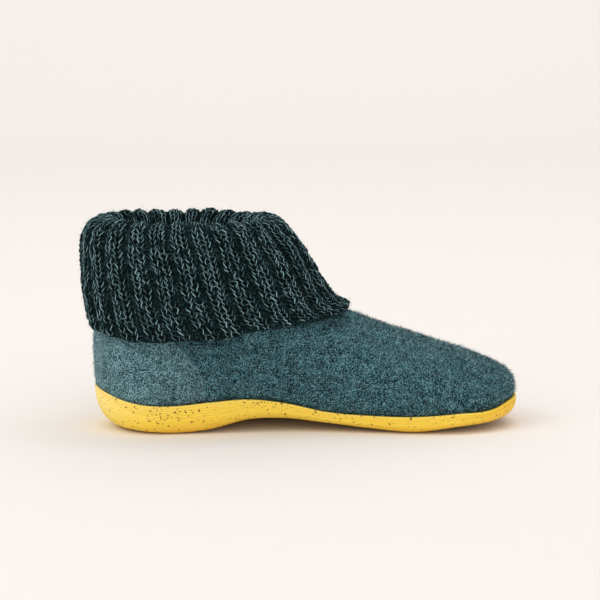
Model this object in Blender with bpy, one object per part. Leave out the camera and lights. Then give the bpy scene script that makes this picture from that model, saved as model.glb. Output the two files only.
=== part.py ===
"""Slipper boot for the left foot: rubber sole, felt insole, boiled wool upper, heel counter, rib-knit cuff.

Sizes are in millimetres until a mesh is made. X runs from the heel (0) to the toe, -Y is the inner side
of the foot, +Y its outer side, and Z is the height above the floor.
"""
from typing import NamedTuple

import bmesh
import bpy
import numpy as np

MM = 0.001

# Driving sizes
SOLE_LENGTH = 262.0
GAP = 0.3
FELT_WALL = 3.0
RIM_WALL = 2.2
RIM_ROUND = 0.8
FEATHER_TURN = 3.0
INSOLE_THICKNESS = 4.0
COUNTER_THICKNESS = 1.2
KNIT_THICKNESS = 2.2
RIB_COUNT = 26
RIB_HEIGHT = 1.8

# Plan shape: end arcs as shares of the length, and how far the toe leans to the inner side
HEEL_ARC = 0.13
TOE_ARC_INNER = 0.21
TOE_ARC_OUTER = 0.30
TOE_POWER = 2.4
TOE_LEAN = -7.0
TOE_LEAN_FROM = 0.55
COLLAR_POWER = 2.3

# Rounding of the sole's lower edge, seen from its side wall inward
HEEL_ROLL = 25.0
TOE_ROLL = 9.0
SIDE_ROLL = 9.0
ROLL_POWER = 2.2
WALL_BULGE = 0.5
TREAD_CROWN = 1.2

# Mesh fineness
SIDE_STEPS = 30
UPPER_STEPS = 16
INNER_STRIDE = 2
COUNTER_STEPS = 8
POINTS_PER_RIB = 4
FOLD_LINE_STEPS = 300
ROLL_STEPS = 5
CAP_COLUMNS = (0.12, 0.3, 0.5, 0.7, 0.88)


class Section(NamedTuple):
    """A cross-section of the sole: half-widths of the upper at the rim, heights, rolled share of its side."""
    station: float
    inner_half: float
    outer_half: float
    inner_rim: float
    outer_rim: float
    inner_tread: float
    outer_tread: float
    thickness: float
    roll_top: float


SECTIONS = (
    Section(0.00, 30.0, 31.0, 26.8, 26.8, 0.0, 0.0, 10.0, 0.95),
    Section(0.08, 31.0, 32.0, 20.2, 20.2, 0.0, 0.0, 10.0, 0.72),
    Section(0.16, 31.5, 33.5, 18.0, 17.4, 0.0, 0.0, 10.0, 0.56),
    Section(0.26, 31.0, 35.5, 19.7, 16.6, 1.9, 0.2, 9.0, 0.52),
    Section(0.36, 29.8, 38.0, 21.0, 16.0, 8.0, 0.6, 8.0, 0.52),
    Section(0.44, 29.8, 40.5, 18.4, 14.6, 8.2, 0.8, 7.0, 0.52),
    Section(0.54, 32.5, 43.5, 12.9, 13.0, 5.2, 0.5, 6.2, 0.52),
    Section(0.64, 37.0, 46.5, 11.2, 12.0, 2.4, 0.2, 5.6, 0.54),
    Section(0.74, 40.0, 48.0, 11.0, 11.4, 0.6, 0.2, 5.2, 0.56),
    Section(0.84, 40.0, 46.5, 12.7, 12.5, 3.6, 2.4, 5.0, 0.58),
    Section(0.93, 37.0, 42.0, 13.8, 13.8, 5.4, 5.0, 5.0, 0.66),
    Section(0.97, 35.4, 39.8, 17.0, 16.6, 6.9, 6.6, 5.0, 0.73),
    Section(1.00, 34.0, 38.0, 18.2, 18.2, 8.2, 8.2, 5.0, 0.78),
)


class UpperRing(NamedTuple):
    """A level ring of the upper: back point, front point, fullness, share of collar shape and of rim wave."""
    level: float
    back_x: float
    back_z: float
    front_x: float
    front_z: float
    fullness: float
    collar: float
    wave: float


UPPER_RINGS = (
    UpperRing(0.00, 2.2, 26.8, 259.4, 16.8, 1.00, 0.00, 1.00),
    UpperRing(0.10, 1.4, 33.6, 259.0, 27.8, 1.03, 0.00, 0.94),
    UpperRing(0.20, 1.0, 40.4, 252.2, 36.3, 1.04, 0.02, 0.84),
    UpperRing(0.32, 0.8, 47.8, 237.4, 45.5, 1.03, 0.06, 0.70),
    UpperRing(0.46, 1.0, 56.0, 212.0, 54.3, 0.98, 0.16, 0.52),
    UpperRing(0.60, 1.6, 65.5, 184.0, 62.6, 0.93, 0.34, 0.34),
    UpperRing(0.74, 2.8, 76.0, 157.4, 71.6, 0.90, 0.58, 0.18),
    UpperRing(0.87, 4.4, 87.0, 134.6, 84.6, 0.92, 0.82, 0.06),
    UpperRing(1.00, 6.2, 98.0, 115.0, 101.0, 1.00, 1.00, 0.00),
)
COLLAR_HALF = 36.0
RIDGE_ARC = 0.8


class CuffRing(NamedTuple):
    """A fold line of the knit sheet's middle: back and front points, half-width, squareness and sag."""
    name: str
    back_x: float
    back_z: float
    front_x: float
    front_z: float
    half: float
    power: float
    sag: float


CUFF_RINGS = (
    CuffRing("inner end", 12.4, 84.0, 103.0, 89.0, 27.6, 2.3, 0.0),
    CuffRing("inner wall", 12.8, 104.0, 100.0, 107.0, 28.8, 2.3, 0.0),
    CuffRing("inner top", 13.4, 119.5, 98.5, 119.5, 30.5, 2.3, 0.0),
    CuffRing("fold inside", 11.2, 127.0, 102.0, 126.0, 33.5, 2.3, 0.0),
    CuffRing("crest", 5.8, 129.6, 108.0, 128.6, 37.2, 2.35, 0.0),
    CuffRing("fold outside", -0.6, 127.2, 115.4, 126.2, 40.6, 2.45, 0.3),
    CuffRing("outer top", -4.8, 118.6, 122.2, 119.0, 42.2, 2.55, 0.8),
    CuffRing("outer middle", -6.0, 104.0, 131.6, 106.0, 43.0, 2.65, 2.2),
    CuffRing("outer low", -5.4, 89.0, 140.4, 89.4, 43.0, 2.7, 4.6),
    CuffRing("outer flare", -4.0, 75.6, 149.0, 78.8, 42.4, 2.7, 7.4),
    CuffRing("hem", -2.7, 66.0, 158.4, 74.2, 41.6, 2.7, 10.4),
)
SAG_POWER = 0.65


class CounterRow(NamedTuple):
    """A row of the heel counter: level on the upper, and how far forward its front edge lies."""
    level: float
    edge_x: float


COUNTER_EDGE = (
    CounterRow(0.02, 67.5),
    CounterRow(0.18, 65.5),
    CounterRow(0.34, 60.0),
    CounterRow(0.50, 50.5),
    CounterRow(0.62, 41.0),
)


class Finish(NamedTuple):
    """Plain colour and surface of one piece."""
    name: str
    colour: tuple
    roughness: float


RUBBER = Finish("sole_rubber", (0.84, 0.56, 0.09, 1.0), 0.62)
FELT = Finish("boiled_wool", (0.045, 0.095, 0.105, 1.0), 0.95)
COUNTER_FELT = Finish("counter_felt", (0.085, 0.16, 0.175, 1.0), 0.92)
KNIT = Finish("rib_knit", (0.012, 0.028, 0.03, 1.0), 0.95)
FOOTBED_FELT = Finish("footbed_felt", (0.16, 0.17, 0.165, 1.0), 0.95)


def smooth(at, rows, column):
    """Cubic curve through one column of a table, over the table's first column of places."""
    places = np.array([getattr(row, rows[0]._fields[0]) for row in rows])
    values = np.array([getattr(row, column) for row in rows])
    slopes = np.gradient(values, places)
    left = np.clip(np.searchsorted(places, at, side="right") - 1, 0, len(places) - 2)
    width = places[left + 1] - places[left]
    u = np.clip((at - places[left]) / width, 0.0, 1.0)
    start = (1 + 2 * u) * (1 - u) ** 2 * values[left] + u * (1 - u) ** 2 * width * slopes[left]
    end = u * u * (3 - 2 * u) * values[left + 1] + u * u * (u - 1) * width * slopes[left + 1]
    return start + end


def mix(low, high, share):
    """Straight blend of two values."""
    return low + (high - low) * share


def ease(share):
    """Soft step from 0 to 1."""
    u = np.clip(share, 0.0, 1.0)
    return u * u * (3 - 2 * u)


def end_arcs(station, toe_arc):
    """Share of the full half-width along a foot outline: an arc at each end and 1 between them."""
    heel = np.sqrt(1 - np.clip(1 - station / HEEL_ARC, 0, 1) ** 2)
    toe = (1 - np.clip(1 - (1 - station) / toe_arc, 0, 1) ** TOE_POWER) ** (1 / TOE_POWER)
    return heel * toe


def oval(station, power):
    """Share of the full half-width along a collar or cuff outline; a higher power has squarer corners."""
    return (1 - np.abs(2 * station - 1) ** power) ** (1 / power)


def lean(x):
    """Sideways shift of the toe towards the inner side."""
    return TOE_LEAN * ease((x / SOLE_LENGTH - TOE_LEAN_FROM) / (1 - TOE_LEAN_FROM))


def foot_half(station, side, level=0.0):
    """Half-width of the foot outline, with a longer front arc higher up; side -1 is the inner side."""
    inner_arc = mix(TOE_ARC_INNER, RIDGE_ARC, level)
    outer_arc = mix(TOE_ARC_OUTER, RIDGE_ARC, level)
    inner = smooth(station, SECTIONS, "inner_half") * end_arcs(station, inner_arc)
    outer = smooth(station, SECTIONS, "outer_half") * end_arcs(station, outer_arc)
    return np.where(side < 0, inner, outer)


def place_of(x):
    """Share of the sole's length."""
    return np.clip(x / SOLE_LENGTH, 0.0, 1.0)


def rim_height(x, side):
    """Height of the sole's rim at a place along one side."""
    inner = smooth(place_of(x), SECTIONS, "inner_rim")
    return np.where(side < 0, inner, smooth(place_of(x), SECTIONS, "outer_rim"))


def across_of(x, y):
    """Place across the sole, from its inner edge (0) to its outer edge (1)."""
    inner = smooth(place_of(x), SECTIONS, "inner_half")
    outer = smooth(place_of(x), SECTIONS, "outer_half")
    return np.clip((y - lean(x) + inner) / (inner + outer), 0.0, 1.0)


def vault_height(x, y):
    """Height of the arched sheet that the sole's underside and floor follow."""
    inner = smooth(place_of(x), SECTIONS, "inner_tread")
    outer = smooth(place_of(x), SECTIONS, "outer_tread")
    return mix(inner, outer, ease(across_of(x, y)))


def tread_height(x, y):
    """Height of the sole's underside: the vault, worn to flat spots on the floor."""
    across = across_of(x, y)
    return np.maximum(0.0, vault_height(x, y) - TREAD_CROWN * 4 * across * (1 - across))


def bed_height(x, y):
    """Height of the floor of the sole's cup."""
    return vault_height(x, y) + smooth(place_of(x), SECTIONS, "thickness")


def ring_layout(steps):
    """Stations and sides of one closed ring: the heel, the inner side, the toe, back on the outer side."""
    station = (1 - np.cos(np.linspace(0, np.pi, steps + 1))) / 2
    stations = np.concatenate([station, station[-2:0:-1]])
    sides = np.concatenate([-np.ones(steps + 1), np.ones(steps - 1)])
    return stations, sides


def upper_points(level, station, side):
    """Points on the outside of the upper at a level (0 the rim, 1 the collar)."""
    row = {name: smooth(level, UPPER_RINGS, name) for name in UpperRing._fields[1:]}
    x = mix(row["back_x"], row["front_x"], station)
    foot = foot_half(station, side, level) * row["fullness"]
    half = mix(foot, COLLAR_HALF * oval(station, COLLAR_POWER), row["collar"])
    straight = mix(UPPER_RINGS[0].back_z, UPPER_RINGS[0].front_z, x / SOLE_LENGTH)
    z = mix(row["back_z"], row["front_z"], station) + row["wave"] * (rim_height(x, side) - straight)
    return np.stack([x, lean(x) * (1 - row["collar"]) + side * half, z], axis=-1)


def foot_ring(inset_heel, inset_toe, inset_side, stations, sides):
    """Plan ring of the foot outline at the rim, drawn in by the given amounts: x and y."""
    x = mix(UPPER_RINGS[0].back_x + inset_heel, UPPER_RINGS[0].front_x - inset_toe, stations)
    toe_arc = np.where(sides < 0, TOE_ARC_INNER, TOE_ARC_OUTER)
    half = foot_half(stations, sides) - inset_side * end_arcs(stations, toe_arc)
    return x, lean(x) + sides * half


def normals_of(grid, closed):
    """Outward unit normals of a grid of points: rows go up, columns go round the foot."""
    if closed:
        along = np.roll(grid, -1, axis=1) - np.roll(grid, 1, axis=1)
    else:
        along = np.gradient(grid, axis=1)
    normal = np.cross(along, np.gradient(grid, axis=0))
    return normal / np.linalg.norm(normal, axis=-1, keepdims=True)


def offset(grid, distance, closed=True):
    """A grid of points moved outward along its own normals."""
    return grid + distance * normals_of(grid, closed)


def material(finish):
    """Principled material of one piece."""
    made = bpy.data.materials.new(finish.name)
    made.use_nodes = True
    shader = made.node_tree.nodes["Principled BSDF"]
    shader.inputs["Base Color"].default_value = finish.colour
    shader.inputs["Roughness"].default_value = finish.roughness
    shader.inputs["Metallic"].default_value = 0.0
    return made


def solid(name, points, faces, finish, parent):
    """Makes one closed, smooth-shaded mesh object from points in millimetres."""
    mesh = bpy.data.meshes.new(name)
    mesh.from_pydata([tuple(MM * value for value in point) for point in points], [], faces)
    work = bmesh.new()
    work.from_mesh(mesh)
    bmesh.ops.triangulate(work, faces=work.faces[:])
    bmesh.ops.recalc_face_normals(work, faces=work.faces[:])
    for face in work.faces:
        face.smooth = True
    work.to_mesh(mesh)
    work.free()
    mesh.materials.append(material(finish))
    made = bpy.data.objects.new(name, mesh)
    made.parent = parent
    bpy.context.scene.collection.objects.link(made)
    return made


def band_faces(rows, columns, rows_closed):
    """Quads between rings of equal size; the last ring joins the first where rows_closed."""
    faces = []
    for row in range(rows if rows_closed else rows - 1):
        low = row * columns
        high = (row + 1) % rows * columns
        for column in range(columns):
            following = (column + 1) % columns
            faces.append((low + column, low + following, high + following, high + column))
    return faces


def ring_solid(name, rings, finish, parent):
    """Closed tube-like solid whose rings run up one face and down the other."""
    points = rings.reshape(-1, 3)
    return solid(name, points, band_faces(len(rings), rings.shape[1], True), finish, parent)


def cap(ring, height):
    """Points and faces that fill one ring: columns of points across it at heights from a function."""
    steps = len(ring) // 2
    points = []
    rows = [[0] * (len(CAP_COLUMNS) + 2)]
    for step in range(1, steps):
        inner, outer = ring[step], ring[-step]
        row = [step]
        for across in CAP_COLUMNS:
            x, y = mix(inner[:2], outer[:2], across)
            row.append(len(ring) + len(points))
            points.append((x, y, float(height(x, y))))
        rows.append(row + [len(ring) - step])
    rows.append([steps] * (len(CAP_COLUMNS) + 2))
    faces = []
    for near, far in zip(rows, rows[1:]):
        for column in range(len(CAP_COLUMNS) + 1):
            corners = (near[column], near[column + 1], far[column + 1], far[column])
            faces.append(tuple(dict.fromkeys(corners)))
    return points, faces


def disc_solid(name, rings, low_height, high_height, finish, parent):
    """Closed solid of stacked rings, filled under the first ring and over the last one."""
    count = rings.shape[1]
    points = [tuple(point) for point in rings.reshape(-1, 3)]
    faces = band_faces(len(rings), count, False)
    for ring_index, height in ((0, low_height), (len(rings) - 1, high_height)):
        first = ring_index * count
        inside = len(points)
        extra, fill = cap(rings[ring_index], height)
        points += extra
        for face in fill:
            faces.append(tuple(first + i if i < count else inside + i - count for i in face))
    return solid(name, points, faces, finish, parent)


def patch_solid(name, outer, inner, finish, parent):
    """Closed solid between two open grids of points of equal size."""
    rows, columns = outer.shape[:2]
    points = np.concatenate([outer.reshape(-1, 3), inner.reshape(-1, 3)])
    back = rows * columns
    faces = []
    for row in range(rows - 1):
        for column in range(columns - 1):
            corner = row * columns + column
            quad = (corner, corner + 1, corner + columns + 1, corner + columns)
            faces.append(quad)
            faces.append(tuple(back + index for index in reversed(quad)))
    border = list(range(columns))
    border += [row * columns + columns - 1 for row in range(1, rows)]
    border += [(rows - 1) * columns + column for column in range(columns - 2, -1, -1)]
    border += [row * columns for row in range(rows - 2, 0, -1)]
    for here, following in zip(border, border[1:] + border[:1]):
        faces.append((here, back + here, back + following, following))
    return solid(name, points, faces, finish, parent)


def upper_outside():
    """Rings of the outside of the upper, from its feather edge in the sole's cup to the collar."""
    stations, sides = ring_layout(SIDE_STEPS)
    x, y = foot_ring(FEATHER_TURN, FEATHER_TURN, FEATHER_TURN, stations, sides)
    rings = [np.stack([x, y, bed_height(x, y) + GAP], axis=-1)]
    for level in np.linspace(0.0, 1.0, UPPER_STEPS):
        rings.append(upper_points(level, stations, sides))
    return np.array(rings)


def build_upper(parent):
    """The felt shell: its outside, and an inside one wall thickness in."""
    outside = upper_outside()
    inside = offset(outside, -FELT_WALL)
    inside[0, :, 2] = outside[0, :, 2]
    coarse = np.concatenate([inside[:1], inside[1::INNER_STRIDE]])
    return ring_solid("upper", np.concatenate([outside, coarse[::-1]]), FELT, parent)


def build_outsole(parent):
    """The rubber cup: rolled underside, bulging side wall, rim, inner wall and floor."""
    stations, sides = ring_layout(SIDE_STEPS)
    rings = []
    for turn in np.linspace(0.0, 0.5 * np.pi, ROLL_STEPS):
        inward = 1 - np.sin(turn) ** (2 / ROLL_POWER)
        raised = 1 - np.cos(turn) ** (2 / ROLL_POWER)
        x, y = foot_ring(HEEL_ROLL * inward - RIM_WALL, TOE_ROLL * inward - RIM_WALL,
                         SIDE_ROLL * inward - RIM_WALL - WALL_BULGE * raised, stations, sides)
        low = tread_height(x, y)
        top = mix(low, rim_height(x, sides), smooth(place_of(x), SECTIONS, "roll_top"))
        rings.append(np.stack([x, y, mix(low, top, raised)], axis=-1))
    for grown, drop in ((RIM_WALL, RIM_ROUND), (RIM_WALL - RIM_ROUND, 0.0), (GAP, 0.0)):
        x, y = foot_ring(-grown, -grown, -grown, stations, sides)
        rings.append(np.stack([x, y, rim_height(x, sides) - drop], axis=-1))
    x, y = foot_ring(FEATHER_TURN - GAP, FEATHER_TURN - GAP, FEATHER_TURN - GAP, stations, sides)
    rings.append(np.stack([x, y, bed_height(x, y)], axis=-1))
    return disc_solid("outsole", np.array(rings), tread_height, bed_height, RUBBER, parent)


def build_insole(parent):
    """The felt footbed inside the lower edge of the upper."""
    stations, sides = ring_layout(SIDE_STEPS)
    drawn_in = FEATHER_TURN + FELT_WALL + 2 * GAP
    x, y = foot_ring(drawn_in, drawn_in, drawn_in, stations, sides)
    low = bed_height(x, y) + GAP
    rings = np.array([np.stack([x, y, low], axis=-1), np.stack([x, y, low + INSOLE_THICKNESS], axis=-1)])
    return disc_solid("insole", rings, lambda x, y: bed_height(x, y) + GAP,
                      lambda x, y: bed_height(x, y) + GAP + INSOLE_THICKNESS,
                      FOOTBED_FELT, parent)


def along_side(ring, stations, places):
    """Points of half a ring, from the heel to the toe, at other stations."""
    return np.stack([np.interp(places, stations, ring[:, axis]) for axis in range(3)], axis=-1)


def counter_row(rings, place):
    """One row of the heel counter at a place between two rings of the upper: outer side, heel, inner side."""
    low = int(place)
    ring = mix(rings[low], rings[low + 1], place - low)
    level = place / (UPPER_STEPS - 1)
    back = smooth(level, UPPER_RINGS, "back_x")
    front = smooth(level, UPPER_RINGS, "front_x")
    reach = (smooth(level, COUNTER_EDGE, "edge_x") - back) / (front - back)
    stations = ring_layout(SIDE_STEPS)[0][:SIDE_STEPS + 1]
    beside = min(stations[COUNTER_STEPS + 1], 0.5 * (stations[COUNTER_STEPS] + reach))
    places = np.concatenate([stations[:COUNTER_STEPS + 1], [beside, reach]])
    inner = along_side(ring[:SIDE_STEPS + 1], stations, places)
    outer = along_side(np.concatenate([ring[:1], ring[:SIDE_STEPS - 1:-1]]), stations, places)
    return np.concatenate([outer[:0:-1], inner])


def build_counter(parent):
    """The heel counter, laid over the back of the upper and following the upper's own facets."""
    first = COUNTER_EDGE[0].level * (UPPER_STEPS - 1)
    last = COUNTER_EDGE[-1].level * (UPPER_STEPS - 1)
    places = [first] + [ring for ring in range(UPPER_STEPS) if first < ring < last] + [last]
    near, far = (np.array([counter_row(offset(upper_outside()[1:], distance), place) for place in places])
                 for distance in (GAP, GAP + COUNTER_THICKNESS))
    return patch_solid("heel_counter", far, near, COUNTER_FELT, parent)


def even_ring(ring, count):
    """Points at equal distances round a fine closed ring, from its first point."""
    loop = np.concatenate([ring, ring[:1]])
    length = np.concatenate([[0.0], np.cumsum(np.linalg.norm(np.diff(loop, axis=0), axis=1))])
    places = np.arange(count) / count * length[-1]
    return np.stack([np.interp(places, length, loop[:, axis]) for axis in range(3)], axis=-1)


def cuff_middle():
    """Rings of the middle of the knit sheet, from its inner end over the crest to the hem."""
    stations, sides = ring_layout(FOLD_LINE_STEPS)
    rings = []
    for row in CUFF_RINGS:
        x = mix(row.back_x, row.front_x, stations)
        z = mix(row.back_z, row.front_z, stations) - row.sag * np.sin(np.pi * stations ** SAG_POWER)
        fine = np.stack([x, sides * row.half * oval(stations, row.power), z], axis=-1)
        rings.append(even_ring(fine, RIB_COUNT * POINTS_PER_RIB))
    return np.array(rings)


def build_cuff(parent):
    """The knit cuff: a folded sheet whose ribs stand out on one face and sink on the other."""
    middle = cuff_middle()
    normal = normals_of(middle, True)
    phase = 2 * np.pi * np.arange(middle.shape[1]) / POINTS_PER_RIB
    wave = 0.5 * RIB_HEIGHT * np.cos(phase)[None, :, None]
    outer = middle + normal * (wave + 0.5 * KNIT_THICKNESS)
    inner = middle + normal * (wave - 0.5 * KNIT_THICKNESS)
    return ring_solid("cuff", np.concatenate([outer, inner[::-1]]), KNIT, parent)


def centre_on_floor(parent, pieces):
    """Moves the assembly so that the middle of its floor rectangle is the origin."""
    points = np.array([vertex.co for piece in pieces for vertex in piece.data.vertices])
    low, high = points.min(axis=0), points.max(axis=0)
    parent.location = (-(low[0] + high[0]) / 2, -(low[1] + high[1]) / 2, -low[2])


def main():
    """Builds the five pieces under one empty."""
    for old in list(bpy.data.objects):
        bpy.data.objects.remove(old, do_unlink=True)
    boot = bpy.data.objects.new("slipper_boot", None)
    bpy.context.scene.collection.objects.link(boot)
    builders = (build_outsole, build_insole, build_upper, build_counter, build_cuff)
    centre_on_floor(boot, [build(boot) for build in builders])


main()
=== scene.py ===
"""Looks of a slipper boot: boiled-wool upper, felt heel counter, rib-knit cuff, rubber sole and felt footbed.

Shapes are worked out in millimetres in the last's own frame: x runs from the back of the sole (0) to the toe,
-y is the inner side of the foot, +y its outer side, and z is the height above the floor.
"""
import logging
import math
from dataclasses import dataclass, field
from enum import Enum
from typing import Any, Callable, NamedTuple, Sequence

import bpy
import numpy as np
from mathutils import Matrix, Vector


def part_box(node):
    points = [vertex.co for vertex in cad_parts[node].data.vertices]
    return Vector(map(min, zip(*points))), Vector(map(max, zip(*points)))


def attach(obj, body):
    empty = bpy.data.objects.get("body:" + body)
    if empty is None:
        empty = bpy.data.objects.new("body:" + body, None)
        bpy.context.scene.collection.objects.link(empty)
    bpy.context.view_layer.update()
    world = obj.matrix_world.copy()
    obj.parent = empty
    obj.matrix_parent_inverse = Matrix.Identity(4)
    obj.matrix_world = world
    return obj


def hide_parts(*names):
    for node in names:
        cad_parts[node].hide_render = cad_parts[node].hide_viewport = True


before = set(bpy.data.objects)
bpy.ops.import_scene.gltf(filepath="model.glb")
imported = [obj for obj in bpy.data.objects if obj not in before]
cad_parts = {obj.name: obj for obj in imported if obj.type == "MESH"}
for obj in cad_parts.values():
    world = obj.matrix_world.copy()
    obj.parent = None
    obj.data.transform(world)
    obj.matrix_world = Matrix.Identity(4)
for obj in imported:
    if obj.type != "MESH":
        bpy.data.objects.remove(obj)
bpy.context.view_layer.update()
LOG = logging.getLogger("slipper_boot")
MM = 0.001
TINY = 1e-9
QUARTER_TURN = np.pi / 2
FULL_TURN = 2 * np.pi
# One number or an array of them, and a surface given as a height at each x and y.
Numbers = float | np.ndarray
Surface = Callable[[np.ndarray, np.ndarray], np.ndarray]


class Face(Enum):
    """Which way a knitted stitch stands out of the fabric."""

    KNIT = 1
    PURL = -1


class Hold(Enum):
    """How a sheet of cloth is held."""

    FOLDED = "folded"
    LAID = "laid"
    STRETCHED = "stretched"


class Section(NamedTuple):
    """A cross-section of the sole: half-widths of the upper at the rim, heights, rolled share of its side."""

    station: float
    inner_half: float
    outer_half: float
    inner_rim: float
    outer_rim: float
    inner_tread: float
    outer_tread: float
    thickness: float
    roll_top: float


SECTIONS = (
    Section(0.00, 30.0, 31.0, 26.8, 26.8, 0.0, 0.0, 10.0, 0.95),
    Section(0.08, 31.0, 32.0, 20.2, 20.2, 0.0, 0.0, 10.0, 0.72),
    Section(0.16, 31.5, 33.5, 18.0, 17.4, 0.0, 0.0, 10.0, 0.56),
    Section(0.26, 31.0, 35.5, 19.7, 16.6, 1.9, 0.2, 9.0, 0.52),
    Section(0.36, 29.8, 38.0, 21.0, 16.0, 8.0, 0.6, 8.0, 0.52),
    Section(0.44, 29.8, 40.5, 18.4, 14.6, 8.2, 0.8, 7.0, 0.52),
    Section(0.54, 32.5, 43.5, 12.9, 13.0, 5.2, 0.5, 6.2, 0.52),
    Section(0.64, 37.0, 46.5, 11.2, 12.0, 2.4, 0.2, 5.6, 0.54),
    Section(0.74, 40.0, 48.0, 11.0, 11.4, 0.6, 0.2, 5.2, 0.56),
    Section(0.84, 40.0, 46.5, 12.7, 12.5, 3.6, 2.4, 5.0, 0.58),
    Section(0.93, 37.0, 42.0, 13.8, 13.8, 5.4, 5.0, 5.0, 0.66),
    Section(0.97, 35.4, 39.8, 17.0, 16.6, 6.9, 6.6, 5.0, 0.73),
    Section(1.00, 34.0, 38.0, 18.2, 18.2, 8.2, 8.2, 5.0, 0.78),
)


class UpperRing(NamedTuple):
    """A level ring of the upper: back point, front point, fullness, share of collar shape and of rim wave."""

    level: float
    back_x: float
    back_z: float
    front_x: float
    front_z: float
    fullness: float
    collar: float
    wave: float


UPPER_RINGS = (
    UpperRing(0.00, 2.2, 26.8, 259.4, 16.8, 1.00, 0.00, 1.00),
    UpperRing(0.10, 1.4, 33.6, 259.0, 27.8, 1.03, 0.00, 0.94),
    UpperRing(0.20, 1.0, 40.4, 252.2, 36.3, 1.04, 0.02, 0.84),
    UpperRing(0.32, 0.8, 47.8, 237.4, 45.5, 1.03, 0.06, 0.70),
    UpperRing(0.46, 1.0, 56.0, 212.0, 54.3, 0.98, 0.16, 0.52),
    UpperRing(0.60, 1.6, 65.5, 184.0, 62.6, 0.93, 0.34, 0.34),
    UpperRing(0.74, 2.8, 76.0, 157.4, 71.6, 0.90, 0.58, 0.18),
    UpperRing(0.87, 4.4, 87.0, 134.6, 84.6, 0.92, 0.82, 0.06),
    UpperRing(1.00, 6.2, 98.0, 115.0, 101.0, 1.00, 1.00, 0.00),
)


class CuffRing(NamedTuple):
    """A fold line of the knit sheet's middle: back and front points, half-width, squareness and sag."""

    name: str
    back_x: float
    back_z: float
    front_x: float
    front_z: float
    half: float
    power: float
    sag: float


CUFF_RINGS = (
    CuffRing("inner end", 12.4, 84.0, 103.0, 89.0, 27.6, 2.3, 0.0),
    CuffRing("inner wall", 12.8, 104.0, 100.0, 107.0, 28.8, 2.3, 0.0),
    CuffRing("inner top", 13.4, 119.5, 98.5, 119.5, 30.5, 2.3, 0.0),
    CuffRing("fold inside", 11.2, 127.0, 102.0, 126.0, 33.5, 2.3, 0.0),
    CuffRing("crest", 5.8, 129.6, 108.0, 128.6, 37.2, 2.35, 0.0),
    CuffRing("fold outside", -0.6, 127.2, 115.4, 126.2, 40.6, 2.45, 0.3),
    CuffRing("outer top", -4.8, 118.6, 122.2, 119.0, 42.2, 2.55, 0.8),
    CuffRing("outer middle", -6.0, 104.0, 131.6, 106.0, 43.0, 2.65, 2.2),
    CuffRing("outer low", -5.4, 89.0, 140.4, 89.4, 43.0, 2.7, 4.6),
    CuffRing("outer flare", -4.0, 75.6, 149.0, 78.8, 42.4, 2.7, 7.4),
    CuffRing("hem", -2.7, 66.0, 158.4, 74.2, 41.6, 2.7, 10.4),
)


class CounterRow(NamedTuple):
    """A row of the heel counter: level on the upper, and how far forward its front edge lies."""

    level: float
    edge_x: float


COUNTER_EDGE = (
    CounterRow(0.02, 67.5),
    CounterRow(0.18, 65.5),
    CounterRow(0.34, 60.0),
    CounterRow(0.50, 50.5),
    CounterRow(0.62, 41.0),
)


class Crease(NamedTuple):
    """A soft trough (negative height) or ridge on one side of the upper, from a lower to a higher point."""

    name: str
    side: int
    low_x: float
    low_z: float
    high_x: float
    high_z: float
    width: float
    height: float


CREASES = (
    Crease("inner flex trough", -1, 172.0, 20.0, 186.0, 54.0, 7.0, -0.9),
    Crease("inner flex ridge", -1, 186.0, 22.0, 199.0, 52.0, 8.0, 0.5),
    Crease("inner arch hollow", -1, 112.0, 34.0, 132.0, 46.0, 14.0, -1.1),
    Crease("outer flex trough", 1, 168.0, 20.0, 182.0, 54.0, 7.0, -0.9),
    Crease("outer flex ridge", 1, 183.0, 22.0, 196.0, 52.0, 8.0, 0.5),
    Crease("inner pull below the cuff", -1, 96.0, 40.0, 122.0, 64.0, 9.0, -0.6),
    Crease("outer pull below the cuff", 1, 92.0, 40.0, 118.0, 62.0, 9.0, -0.6),
)


def hermite(at: Numbers, places: np.ndarray, values: np.ndarray) -> Numbers:
    """Reads a smooth cubic curve through given points.

    Args:
        at: Places to read.
        places: Rising places of the points.
        values: Values at those places.

    Returns:
        The curve's values, held level beyond both ends.
    """
    slopes = np.gradient(values, places)
    left = np.clip(np.searchsorted(places, at, side="right") - 1, 0, len(places) - 2)
    width = places[left + 1] - places[left]
    u = np.clip((at - places[left]) / width, 0.0, 1.0)
    start = (1 + 2 * u) * (1 - u) ** 2 * values[left] + u * (1 - u) ** 2 * width * slopes[left]
    end = u * u * (3 - 2 * u) * values[left + 1] + u * u * (u - 1) * width * slopes[left + 1]
    return start + end


def column(rows: Sequence[NamedTuple], name: str) -> np.ndarray:
    """One column of a table."""
    return np.array([getattr(row, name) for row in rows], dtype=float)


def smooth(at: Numbers, rows: Sequence[NamedTuple], name: str) -> Numbers:
    """Smooth curve through one column of a table, over its first column."""
    return hermite(at, column(rows, rows[0]._fields[0]), column(rows, name))


def mix(low: Numbers, high: Numbers, share: Numbers) -> Numbers:
    """Straight blend of two values."""
    return low + (high - low) * share


def ease(share: Numbers) -> Numbers:
    """Soft step from 0 to 1."""
    u = np.clip(share, 0.0, 1.0)
    return u * u * (3 - 2 * u)


def oval(station: Numbers, power: Numbers) -> Numbers:
    """Share of the full half-width along a collar or cuff outline; a higher power has squarer corners."""
    return (1 - np.abs(2 * station - 1) ** power) ** (1 / power)


def unit(vectors: np.ndarray) -> np.ndarray:
    """Vectors of length 1."""
    return vectors / np.maximum(np.linalg.norm(vectors, axis=-1, keepdims=True), TINY)


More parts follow.
